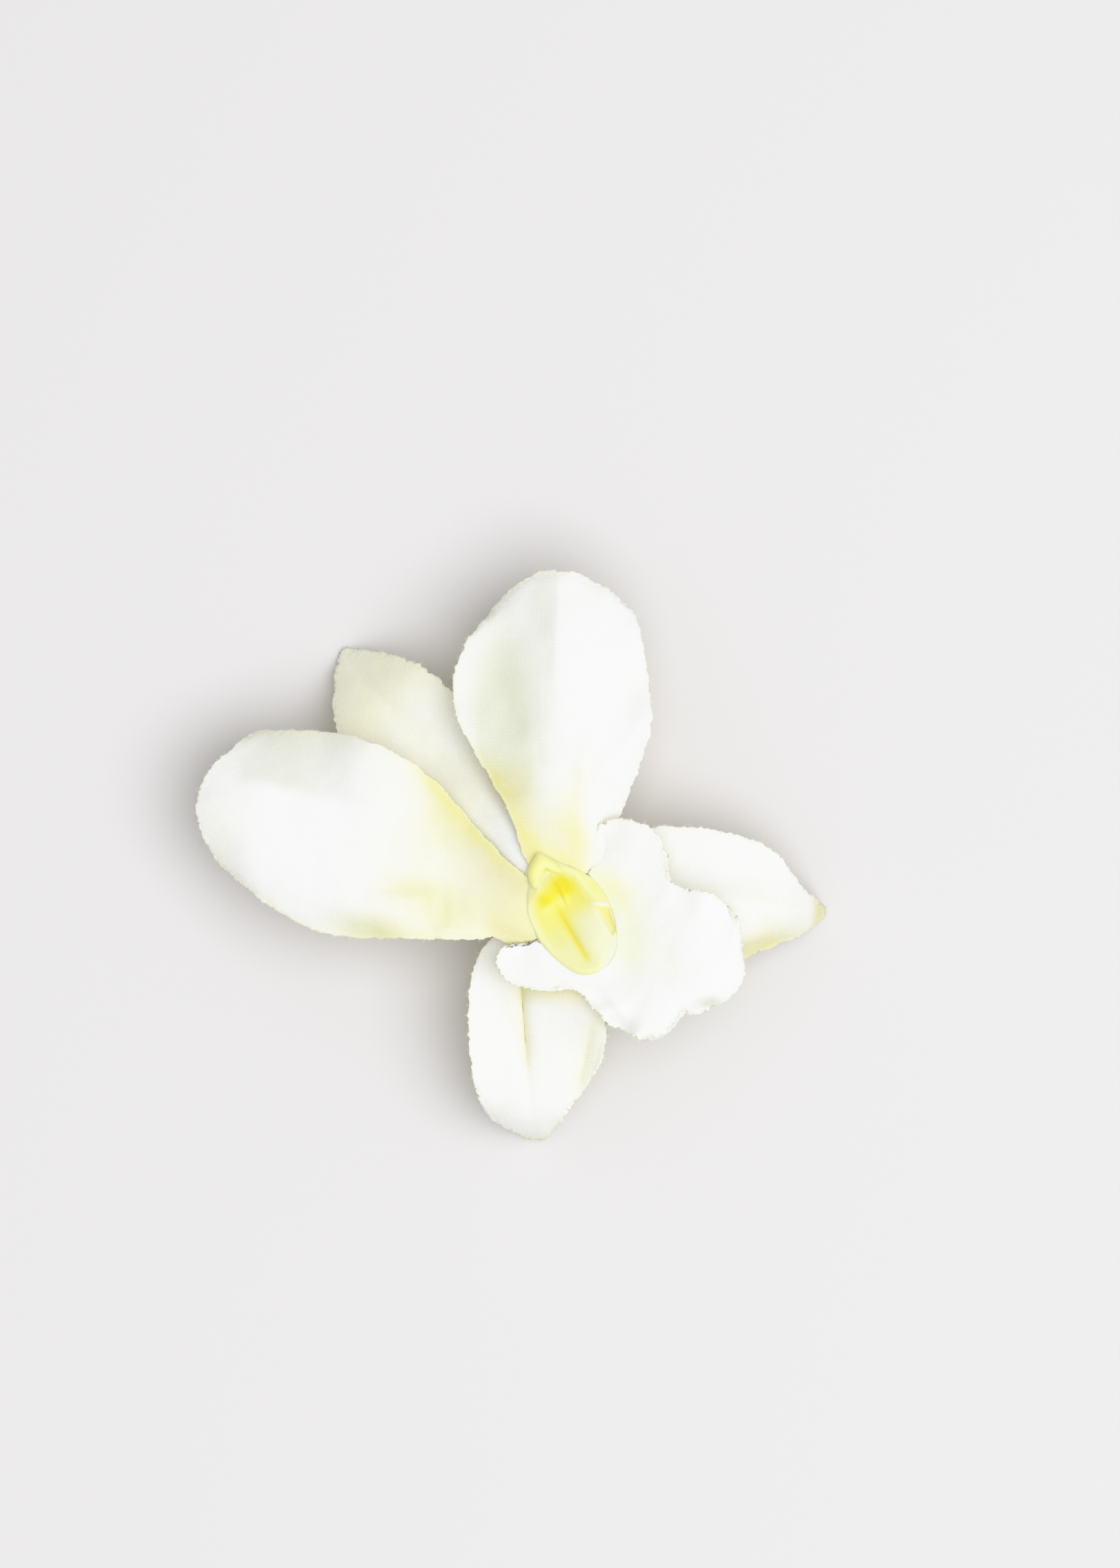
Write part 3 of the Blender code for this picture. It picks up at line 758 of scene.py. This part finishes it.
def blade(node, stations, angle, form, dye_and_shade, shape, slot, finishes, seed, grid=BLADE_GRID, frayed=FRAYED):
    """One cloth blade: the same sections as its solid, finer, with its folds, its dye and painted shade, and
    a frayed edge.
    """
    front, back, loose_thread = finishes
    mesh, u, v = grid_mesh("cloth_" + node, *grid)
    along, sway, height, left, right, lift_left, lift_right, lag = sections(stations, u).T
    forward = along - lag * v * v
    side = sway + v * np.where(v > 0, left, right)
    up = height + v * v * np.where(v > 0, lift_left, lift_right)
    border = (np.abs(v) > 0.9999) | (u > 0.9999) | (u < 0.0001)
    edge = edge_distance(forward, side, border)
    if shape:
        forward, side = shape(u, v, forward, side, edge)
    loose = frayed * np.exp(-edge / FRAY_REACH)
    forward = forward + loose * fraying(forward, side, seed)
    side = side + loose * fraying(forward, side, seed + 2)
    wrinkles = WRINKLE_HEIGHT * undulation(forward, side, WRINKLE_LENGTH, seed + 4) * ease(u, 0.1, 0.3)
    up = form(u, v, forward, side, up, edge) + wrinkles
    set_vertices(mesh, placed(forward, side, up, angle))
    # The dye and the painted shade, each kept as a mask
    for tint, strength in dye_and_shade(forward, side, edge).items():
        set_mask(mesh, tint, strength)
    set_mask(mesh, "edge", edge)
    set_cloth_map(mesh, forward, side)
    made = piece("cloth_" + node, mesh, node, slot, front, back)
    thicken(made, CLOTH_THICKNESS, back=1)
    loose_threads(node, vertices_of(mesh), u, v, slot, loose_thread, seed)


def strand(line, ahead, corners, faces):
    """Adds one thread: a three-sided tube on this line, closed at both ends, that tapers as it goes."""
    beside = np.cross(ahead, (0.0, 0.0, 1.0))
    beside = beside / np.linalg.norm(beside)
    above = np.cross(beside, ahead)
    first = len(corners)
    for place, width in zip(line, MM * THREAD_RADIUS * (1 - THREAD_TAPER * THREAD_STEPS)):
        for corner in range(THREAD_SIDES):
            turn = 2 * math.pi * corner / THREAD_SIDES
            corners.append(place + width * (math.cos(turn) * beside + math.sin(turn) * above))
    last = len(corners) - THREAD_SIDES
    for ring in range(first, last, THREAD_SIDES):
        for corner in range(THREAD_SIDES):
            low, next_low = ring + corner, ring + (corner + 1) % THREAD_SIDES
            faces.append((low, next_low, next_low + THREAD_SIDES, low + THREAD_SIDES))
    faces.append(tuple(range(first + THREAD_SIDES - 1, first - 1, -1)))
    faces.append(tuple(range(last, last + THREAD_SIDES)))


def loose_threads(node, points, u, v, slot, finish, seed):
    """Fine threads that stand out of a blade's cut edge, each with its own length, lean and curl."""
    draw = np.random.default_rng(seed)
    corners, faces = [], []
    steps = THREAD_STEPS[:, None]
    for _ in range(THREADS_A_BLADE):
        along, across = draw.uniform(0.15, 1.0), draw.choice((-1.0, 1.0))
        if draw.random() < 0.3:
            along, across = 1.0, draw.uniform(-1.0, 1.0)
        root = points[np.argmin(np.abs(u - along) + np.abs(v - across))]
        inner = points[np.argmin(np.abs(u - 0.96 * along) + np.abs(v - 0.9 * across))]
        out = (root - inner) / np.linalg.norm(root - inner)
        lean = draw.normal(0.0, 0.45, 3)
        length = MM * THREAD_LENGTH * draw.uniform(0.4, 1.3)
        ahead = (out + lean) / np.linalg.norm(out + lean)
        curl = np.cross(ahead, draw.normal(0.0, 1.0, 3)) * draw.uniform(0.1, 0.5)
        line = root - MM * THREAD_ROOT * out + length * (steps * ahead + steps**2 * curl)
        line[:, 2] = np.maximum(line[:, 2], 2 * MM * THREAD_RADIUS)
        strand(line, ahead, corners, faces)
    mesh = bpy.data.meshes.new("threads_" + node)
    mesh.from_pydata(corners, [], faces)
    mesh.shade_smooth()
    piece("threads_" + node, mesh, None, slot, finish)


def ripple(u, v, depth, cycles, phase):
    """Waves across a blade that grow towards its two edges."""
    waves = np.sin(2 * np.pi * (cycles * u + 0.25 * v) + phase)
    return depth * np.abs(v) ** 3 * waves * np.minimum(3 * u, 1.0)


def swell(forward, side, marks):
    """The blade's slow unevenness."""
    height, length, seed = marks["swell"]
    return height * undulation(forward, side, length, seed)


def marked(up, forward, side, edge, marks):
    """A blade's height with its dips, its creases and the curls of its edge."""
    up = up + patches(forward, side, marks["dips"])
    up = up + sum(height * fold(forward, side, *line) for height, *line in marks["creases"])
    return up + np.exp(-edge / marks["curl_reach"]) * patches(forward, side, marks["curls"])


def upper_petal_form(u, v, forward, side, up, edge):
    """A fold down from the tip, a left half that falls away to an upturned edge, and a dip on the right."""
    up = up + ripple(u, v, 0.4, 1.6, 0.4) + swell(forward, side, UPPER_PETAL_MARKS)
    up = up - 3.4 * ease(side, 0.0, 10.5) * bump(forward, 27.0, 12.0)
    up = up - 1.6 * ease(-side, 0.0, 11.0) * bump(forward, 25.0, 11.0)
    up = marked(up, forward, side, edge, UPPER_PETAL_MARKS)
    below = 0.35 * ease(-side, 1.0, 4.0) - 0.2
    return beside_column(forward, side, up, UPPER_PETAL_AT, below, until=3.1)


def left_petal_form(u, v, forward, side, up, edge):
    """A broad flat middle that falls away at its far corner and lower edge, with crimps near the base."""
    up = up + ripple(u, v, 0.3, 1.5, 2.2) + swell(forward, side, LEFT_PETAL_MARKS)
    corner = bend(forward, side, (45.2, -5.6), (31.5, -4.6)) * ease(forward, 27.0, 34.0)
    up = up + 2.4 * ease(forward, 30.0, 47.0) - 0.36 * corner
    up = up - 1.5 * ease(side, 5.5, 10.5) * bump(forward, 22.0, 7.0)
    up = up + 0.09 * np.sin(2.4 * forward + 0.8 * side) * oval(forward, side, (15.0, 4.5), (6.0, 2.2))
    up = marked(up, forward, side, edge, LEFT_PETAL_MARKS)
    below = 0.75 * ease(side, 4.2, 6.2) - 0.25
    return beside_column(forward, side, up, LEFT_PETAL_AT, below, until=3.4)


def dorsal_sepal_form(u, v, forward, side, up, edge):
    """A soft fold along the midrib, arched up between the two petals."""
    up = up - 0.5 * np.sin(np.pi * u) * bump(v, 0.0, 0.22)
    up = up + swell(forward, side, DORSAL_SEPAL_MARKS) * ease(u, 0.1, 0.4)
    arch = 4.2 * ease(forward, 1.5, 5.0) * (1 - ease(forward, 11.0, 25.0))
    up = up + arch * (1 - v * v) + 1.6 * bump(forward, 34.0, 5.0)
    return beside_column(forward, side, up, DORSAL_SEPAL_AT, below=0.4, until=2.3)


def right_sepal_form(u, v, forward, side, up, edge):
    """A raised midrib with hollows on both sides, an upturned upper edge and a tip that curls back."""
    up = up + swell(forward, side, RIGHT_SEPAL_MARKS) * ease(u, 0.1, 0.4) * (1 - ease(u, 0.8, 1.0))
    up = up + 1.8 * bump(forward, 29.5, 3.0)
    return marked(up, forward, side, edge, RIGHT_SEPAL_MARKS)


def lower_sepal_form(u, v, forward, side, up, edge):
    """A deep valley fold along the midrib, a dip on its left flank and an upturned right edge."""
    up = up + swell(forward, side, LOWER_SEPAL_MARKS) * ease(u, 0.1, 0.4) * (1 - ease(u, 0.8, 1.0))
    up = up + 2.2 * bump(forward, 26.8, 3.4)
    up = marked(up, forward, side, edge, LOWER_SEPAL_MARKS)
    up = beside_column(forward, side, up, LOWER_SEPAL_AT, below=1.1, until=2.6)
    up = up + 1.6 * ease(forward, 24.0, 29.5) * (1 - ease(forward, 29.5, 31.1))
    return up + patches(forward, side, LOWER_SEPAL_MARKS["late_dips"])


def lip_form(u, v, forward, side, up, edge):
    """The ruffled middle lobe with its groove, and a base that rises from below the column to its edge."""
    middle_lobe = ease(u, 0.5, 0.7)
    ruffles = np.abs(v) ** 2.5 * np.sin(2 * np.pi * (4.5 * u + 0.3 * v))
    up = up + middle_lobe * (ruffles - 0.4 * bump(v, 0.0, 0.12) + swell(forward, side, LIP_MARKS))
    up = marked(up, forward, side, edge, LIP_MARKS)
    share, cosine, sine = column_share(*column_frame(forward, side, LIP_AT))
    near = (1 - ease(share, 1.05, 1.7)) * ease(cosine, -0.75, -0.3)
    up = up + (edge_height(cosine, sine) - LIP_BELOW_EDGE - up) * near
    root = LIP_ROOT + LIP_ROOT_SLOPE * (forward - BLADE_START) + LIP_ROOT_SPREAD * side * side
    return root + (up - root) * ease(share, *LIP_CLIMB)


# Yellow dye at the base, by the column and along the left side; the green patch down the left half and the
# shade patches are painted shade
def dye_and_painted_shade_of_upper_petal(forward, side, edge):
    share = column_share(*column_frame(forward, side, UPPER_PETAL_AT))[0]
    base = 0.58 * (1 - ease(forward + 1.2 * side, 8.0, 19.0)) * (1 - ease(-side, 1.5, 5.0))
    left_side = np.exp(-edge / 4.0) * ease(side, 1.0, 5.0) * (1 - ease(forward, 14.5, 20.0))
    by_column = 0.35 * (1 - ease(share, 1.0, 1.5))
    return {
        "yellow": base + left_side + by_column + patches(forward, side, UPPER_PETAL_MARKS["yellow"]),
        "green": patches(forward, side, UPPER_PETAL_MARKS["green"]),
        "shade": patches(forward, side, UPPER_PETAL_MARKS["shade"]),
    }


# Yellow and green dye; the far corner, the upper edge's shade and the shade patches are painted shade, and
# the yellow patches that share their places are partly painted warm shade
def dye_and_painted_shade_of_left_petal(forward, side, edge):
    base = 0.48 * (1 - ease(forward, 12.0, 30.0)) + 0.4 * (1 - ease(forward, 4.0, 11.0))
    upper_edge = np.exp(-edge / 2.4) * ease(-side, 1.0, 5.0) * (1 - ease(forward, 17.0, 23.0))
    rims = ease(side, 3.0, 8.0) * ease(forward, 15.0, 20.0) + ease(-side, 8.0, 12.0)
    rims = 0.22 * np.exp(-edge / 1.2) * rims
    far_corner = 0.75 * ease(-side, 4.8, 7.0) * bump(forward, 36.5, 7.5)
    return {
        "yellow": base + 0.75 * upper_edge + rims + patches(forward, side, LEFT_PETAL_MARKS["yellow"]),
        "green": 0.1 * (1 - ease(forward, 14.0, 30.0)),
        "shade": far_corner + 0.25 * upper_edge + patches(forward, side, LEFT_PETAL_MARKS["shade"]),
    }


# Yellow and green dye, and a band of painted shade about 18 mm out
def dye_and_painted_shade_of_dorsal_sepal(forward, side, edge):
    white_patch = 0.9 * oval(forward, side, (24.0, -4.0), (5.0, 3.0))
    outwards = 0.22 * ease(forward, 9.0, 16.0) + 0.2 * ease(forward, 28.0, 34.0)
    return {
        "yellow": outwards * (1 - white_patch),
        "green": 0.1 * ease(forward, 14.0, 24.0),
        "shade": 0.25 * bump(forward, 18.0, 4.0),
    }


# Painted shade on the curled tip and in patches, with the lip's painted shadow on the lower half; the yellow
# there and along the rib is partly painted warm shade, partly dye
def dye_and_painted_shade_of_right_sepal(forward, side, edge):
    rib = fold(forward, side, (12.0, 2.8), (33.0, 0.2), 0.9, 0.25)
    tip = ease(forward, 32.0, 34.0)
    return {
        "yellow": 0.1 * rib + 0.7 * tip + patches(forward, side, RIGHT_SEPAL_MARKS["yellow"]),
        "shade": tip + patches(forward, side, RIGHT_SEPAL_MARKS["shade"]),
    }


# Painted shade and warm yellow in the lip's shadow, along the valley fold and in the right fold, and painted
# shade in patches; the rest of the yellow and the green are dye
def dye_and_painted_shade_of_lower_sepal(forward, side, edge):
    under_lip = (1 - ease(forward, 11.2, 14.5)) * ease(side, -4.6, -3.2)
    valley = fold(forward, side, (9.0, -4.0), (23.0, -2.0), 0.4, 0.8)
    right_fold = fold(forward, side, (14.0, 6.4), (25.0, 4.2), 0.8, 1.4)
    tip = ease(forward, 29.6, 31.0)
    folds = 0.4 * under_lip + 0.4 * valley + 0.35 * right_fold
    return {
        "yellow": 0.55 * under_lip + 0.35 * valley + 0.28 * right_fold + 0.06 + 0.3 * tip,
        "green": 0.08 * ease(side, -3.0, 2.0),
        "shade": folds + patches(forward, side, LOWER_SEPAL_MARKS["shade"]),
    }


# Yellow and green dye by the column and in the throat, and painted shade in patches on the lobes' rims and
# folds
def dye_and_painted_shade_of_lip(forward, side, edge):
    along, across = column_frame(forward, side, LIP_AT)
    share = column_share(along, across)[0]
    by_column = (1 - ease(share, 1.0, 1.8)) ** 1.2 * ease(across, 0.5, 3.5)
    right_of_column = 0.65 * by_column * (1 - ease(along, 6.5, 9.5))
    return {
        "yellow": right_of_column + patches(forward, side, LIP_MARKS["yellow"]),
        "green": 0.5 * by_column + patches(forward, side, LIP_MARKS["green"]),
        "shade": patches(forward, side, LIP_MARKS["shade"]),
    }


def upper_petal_shape(u, v, forward, side, edge):
    """A wider base on the right, where it runs in under the lip's lobe."""
    return forward, side - 2.2 * bump(forward, 6.0, 2.6) * ease(-side, 0.5, 3.5)


def left_petal_shape(u, v, forward, side, edge):
    """A base that runs straight on under the column and the lip's other lobe."""
    spread = np.maximum(1 - u / 0.22, 0.0)
    left = np.maximum(v, 0.0)
    under_lobe = 0.9 * bump(forward, 2.9, 2.2) * left**2
    return forward - 2.4 * spread * left**2, side + 6.4 * spread**1.3 * left + under_lobe


def scalloped(u, v, forward, side, edge):
    """The middle lobe's rim, which each scallop moves in or out, and the rear corners of the base."""
    ahead, beside = forward - LOBE_CENTRE[0], side - LOBE_CENTRE[1]
    reach = np.hypot(ahead, beside)
    around = np.degrees(np.arctan2(beside, ahead))
    out = sum(depth * bump(around, place, width) for place, depth, width in SCALLOPS)
    out = out * np.exp(-edge / 2.2) * ease(reach, 4.0, 7.0) * ease(forward, 9.5, 12.0)
    corner = (1.5 * bump(side, -8.8, 2.1) - 0.8 * bump(side, 7.5, 2.2)) * (1 - ease(forward, 0.5, 3.0))
    return forward + out * ahead / reach - corner, side + out * beside / reach


def half_ball(name):
    """A ball's lower half, with each vertex's share of the way out from the lowest point, and direction."""
    shape = bmesh.new()
    bmesh.ops.create_uvsphere(shape, u_segments=COLUMN_STEPS, v_segments=COLUMN_STEPS, radius=1.0)
    upper = [vertex for vertex in shape.verts if vertex.co.z > 0.001]
    bmesh.ops.delete(shape, geom=upper, context="VERTS")
    mesh = bpy.data.meshes.new(name)
    shape.to_mesh(mesh)
    shape.free()
    mesh.shade_smooth()
    x, y, z = vertices_of(mesh).T
    around = np.arctan2(y, x)
    return mesh, 2 / np.pi * np.arccos(np.clip(-z, 0.0, 1.0)), np.cos(around), np.sin(around)


def inside_cup(along, across):
    """How strongly each point shows the ridge, groove, hollows, hood's lip, pit and flap."""
    ridge = ease(along, 0.5, 4.5) * ease(across, -0.6, 1.6) * (1 - 0.6 * ease(across, 3.6, 4.2))
    groove = ease(along, -0.5, 2.0) * (1 - ease(along, 8.0, 9.5)) * bump(across, -0.5, 0.6)
    hollows = patches(along, across, HOLLOWS)
    hood_lip = fold(along, across, *HOOD_LIP)
    pit_right = 5.4 - 0.2 * (along - 4.0)
    pit = ease(along, 2.8, 4.0) * (1 - ease(along, 7.2, 7.9))
    pit = pit * ease(across, 3.3, 3.8) * (1 - ease(across, pit_right - 0.4, pit_right + 0.1))
    return ridge, groove, hollows, hood_lip, pit, fold(along, across, *FLAP)


def column(finish):
    """The hooded cup: two hollows under the hood, and a pale ridge between a groove and a pit."""
    mesh, share, cosine, sine = half_ball("moulded_column")
    along = COLUMN_CENTRE[0] + COLUMN_REACH[0] * share * cosine
    across = COLUMN_CENTRE[1] + COLUMN_REACH[1] * share * sine * waist(cosine, sine)
    ridge, groove, hollows, hood_lip, pit, flap = inside_cup(along, across)
    crest = crest_share(cosine, sine)
    wall = np.minimum(share / crest, 1.0) ** (3 - 1.1 * ease(sine, 0.1, 0.6))
    beyond = np.maximum(share - crest, 0.0) / (1 - crest)
    cup_floor = CUP_FLOOR_HEIGHT + CUP_FLOOR_RISE * ease(along, *CUP_FLOOR_RISES_BETWEEN)
    up = cup_floor + (crest_height(cosine) - cup_floor) * wall
    up = up + (edge_height(cosine, sine) - crest_height(cosine)) * beyond**2
    carved = RIDGE_HEIGHT * ridge - GROOVE_DEPTH * groove - HOLLOW_DEPTH * hollows
    up = up + (1 - wall) * (carved + HOOD_LIP_HEIGHT * hood_lip)
    up = up - PIT_DEPTH * pit * ease(along, 2.5, 6.0) + FLAP_HEIGHT * flap
    closed = ease(along + 0.72 * across, 10.1, 11.1) * ease(across, -0.5, 0.8)
    up = up + (edge_height(cosine, sine) - up) * closed
    set_vertices(mesh, placed(along, across, up, COLUMN_AT))
    under_hood = (1 - ease(along, -0.5, 2.5)) * (1 - ease(share, crest - 0.3, crest))
    # The deep yellow in the hollows, groove, pit and under the hood is partly the plastic's own colour and
    # partly painted shade
    deep = 1.1 * hollows + 0.8 * groove + 1.5 * pit * ease(along, 2.0, 5.5) + 0.45 * under_hood
    flank_wall = ease(share, crest - 0.12, crest + 0.1) * ease(sine, 0.1, 0.6) * ease(cosine, -0.65, -0.2)
    flank_floor = 0.6 * ease(across, 2.8, 4.2) * ease(along, 0.5, 2.5)
    pale = 0.95 * ridge * ease(along, 1.5, 4.5) * (1 - closed) + flap
    set_mask(mesh, "deep", np.clip(deep - 0.25 * hood_lip, 0, 1))
    set_mask(mesh, "pale", np.clip(pale, 0, 1))
    set_mask(mesh, "rim", np.maximum(ease(share, crest - 0.22, crest), ease(along, 1.5, 7.0)))
    set_mask(mesh, "flank", np.clip(np.maximum(flank_wall, flank_floor) * (1 - pit), 0, 1))
    set_mask(mesh, "green", closed)
    made = piece("moulded_column", mesh, "column", "column_yellow", finish)
    thicken(made, WALL_THICKNESS)


def column_foot(finish):
    """The short post that carries the column down to the receptacle."""
    bpy.ops.mesh.primitive_cylinder_add(
        vertices=FOOT_SIDES,
        radius=FOOT_RADIUS * MM,
        depth=FOOT_HEIGHT * MM,
        location=Vector(placed(0.0, 0.0, FOOT_HEIGHT / 2, 0.0)),
    )
    made = bpy.context.object
    made.name = "column_foot"
    made.data.shade_smooth()
    made.data.materials.append(finish)
    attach(made, "root")


def anther_cap(finish):
    """The crescent on the hood's rear rim, nibbed at the back and notched over the hollow."""
    shape = bmesh.new()
    bmesh.ops.create_uvsphere(shape, u_segments=96, v_segments=64, radius=1.0)
    mesh = bpy.data.meshes.new("moulded_cap")
    shape.to_mesh(mesh)
    shape.free()
    mesh.shade_smooth()
    inward, sideways, upward = vertices_of(mesh).T
    middle = bump(sideways, *CAP_NIB_PLACE)
    nib, notch = CAP_NIB * np.minimum(inward, 0.0), CAP_NOTCH * np.maximum(inward, 0.0)
    inward = inward + middle * nib - middle * notch
    around = math.pi - sideways * np.radians(np.where(sideways > 0, CAP_RIGHT_SPAN, CAP_LEFT_SPAN))
    out = -CAP_LEAN - inward * CAP_WIDTH / 2
    along = COLUMN_CENTRE[0] + (COLUMN_REACH[0] + out) * np.cos(around)
    width = waist(np.cos(around), np.sin(around))
    across = COLUMN_CENTRE[1] + (COLUMN_REACH[1] + out) * np.sin(around) * width
    dome = upward * np.where(upward > 0, CAP_HEIGHT, CAP_DEPTH)
    up = crest_height(np.cos(around)) + CAP_SEAT + dome
    set_vertices(mesh, placed(along, across, up, COLUMN_AT))
    piece("moulded_cap", mesh, "anther_cap", "anther_lime", finish)


def pedicel(finish):
    """The stalk: a bent rod with faint ribs, wide at the receptacle under the hub and cut square below."""
    mesh, u, v = grid_mesh("moulded_pedicel", PEDICEL_RINGS, PEDICEL_SIDES)
    x, y, height, radius = sections(PEDICEL, u).T
    ahead = sections(PEDICEL, np.minimum(u + 0.004, 1.0)) - sections(PEDICEL, np.maximum(u - 0.004, 0.0))
    forward = ahead[:, :3] / np.linalg.norm(ahead[:, :3], axis=1, keepdims=True)
    across = np.cross(forward, np.array((1.0, 0.0, 0.0)))
    across = across / np.linalg.norm(across, axis=1, keepdims=True)
    other = np.cross(forward, across)
    turn = np.pi * v
    ribs = 1 + PEDICEL_RIB_HEIGHT * np.cos(PEDICEL_RIBS * turn) * ease(u, 0.12, 0.3)
    out = (across * np.cos(turn)[:, None] + other * np.sin(turn)[:, None]) * (radius * ribs)[:, None]
    centre = np.stack((x + HUB[0], y + HUB[1], height + HUB[2]), axis=-1)
    set_vertices(mesh, MM * (centre + out))
    set_mask(mesh, "towards_flower", 1 - ease(u, 0.0, 0.6))
    set_mask(mesh, "cut", ease(u, 0.985, 1.0))
    shape = bmesh.new()
    shape.from_mesh(mesh)
    bmesh.ops.remove_doubles(shape, verts=shape.verts, dist=0.00001)
    bmesh.ops.holes_fill(shape, edges=[edge for edge in shape.edges if edge.is_boundary], sides=0)
    bmesh.ops.recalc_face_normals(shape, faces=shape.faces)
    shape.to_mesh(mesh)
    shape.free()
    mesh.shade_smooth()
    mesh.set_sharp_from_angle(angle=math.radians(50))
    piece("moulded_pedicel", mesh, "pedicel", "pedicel_green", finish)


def floor():
    """The plain pale surface that the flower lies on."""
    bpy.ops.mesh.primitive_plane_add(size=GROUND_SIZE, location=(0.0, 0.0, -GROUND_GAP))
    ground = bpy.context.object
    ground.name = "floor"
    n = Nodes("pale_floor")
    n.shader.inputs["Base Color"].default_value = (*GROUND_PALE, 1.0)
    n.shader.inputs["Roughness"].default_value = 0.9
    n.shader.inputs["Specular IOR Level"].default_value = 0.1
    ground.data.materials.append(n.material)


def softbox(name, location, size, power):
    """A round soft light that faces the flower."""
    data = bpy.data.lights.new(name, "AREA")
    data.shape = "DISK"
    data.size = size
    data.energy = power
    lamp = bpy.data.objects.new(name, data)
    bpy.context.scene.collection.objects.link(lamp)
    lamp.location = location
    lamp.rotation_euler = (-Vector(location)).to_track_quat("-Z", "Y").to_euler()


def studio():
    """The even surround, the soft light and the soft roll-off towards white."""
    scene = bpy.context.scene
    world = bpy.data.worlds.new("studio")
    world.use_nodes = True
    world.node_tree.nodes["Background"].inputs["Color"].default_value = (1.0, 1.0, 1.0, 1.0)
    world.node_tree.nodes["Background"].inputs["Strength"].default_value = WORLD_STRENGTH
    scene.world = world
    softbox("key", KEY_PLACE, KEY_SIZE, KEY_POWER)
    view = scene.view_settings
    view.view_transform = "Standard"
    view.use_curve_mapping = True
    curve = view.curve_mapping
    curve.white_level = (TONE_WHITE,) * 3
    curve.initialize()
    line = curve.curves[3].points
    line[0].location = (0.0, 0.0)
    line[1].location = (1.0, TONES[-1][1])
    for light, shown in TONES[:-1]:
        line.new(light / TONE_WHITE, shown)
    curve.update()


def camera():
    """A camera straight above the flower, at the photograph's angle."""
    data = bpy.data.cameras.new("camera")
    data.sensor_width = SENSOR_WIDTH
    data.lens = data.sensor_width * CAMERA_DISTANCE / FRAME_HEIGHT
    data.clip_start = 0.01
    data.clip_end = 10.0
    made = bpy.data.objects.new("camera", data)
    bpy.context.scene.collection.objects.link(made)
    middle_x, middle_y = FRAME_CENTRE
    made.location = (middle_x * MM, middle_y * MM, (FLOWER_LEVEL + CAMERA_DISTANCE) * MM)
    bpy.context.scene.camera = made


camera()
studio()
floor()
cloths = (cloth("cloth_front", CLOTH_WHITE), cloth("cloth_back", CLOTH_CREAM, back=True), thread())
petals_and_sepals = (
    ("petal_upper", UPPER_PETAL, UPPER_PETAL_AT, upper_petal_form, dye_and_painted_shade_of_upper_petal, upper_petal_shape),
    ("petal_left", LEFT_PETAL, LEFT_PETAL_AT, left_petal_form, dye_and_painted_shade_of_left_petal, left_petal_shape),
    ("sepal_dorsal", DORSAL_SEPAL, DORSAL_SEPAL_AT, dorsal_sepal_form, dye_and_painted_shade_of_dorsal_sepal, None),
    ("sepal_right", RIGHT_SEPAL, RIGHT_SEPAL_AT, right_sepal_form, dye_and_painted_shade_of_right_sepal, None),
    ("sepal_lower", LOWER_SEPAL, LOWER_SEPAL_AT, lower_sepal_form, dye_and_painted_shade_of_lower_sepal, None),
)
for seed, described in enumerate(petals_and_sepals, start=11):
    blade(*described, "petal_white", cloths, seed)
blade("lip", LIP, LIP_AT, lip_form, dye_and_painted_shade_of_lip, scalloped, "lip_white", cloths, 16, LIP_GRID, LIP_FRAYED)
yellow = moulded_yellow()
column(yellow)
column_foot(yellow)
anther_cap(moulded_lime())
pedicel(moulded_green())
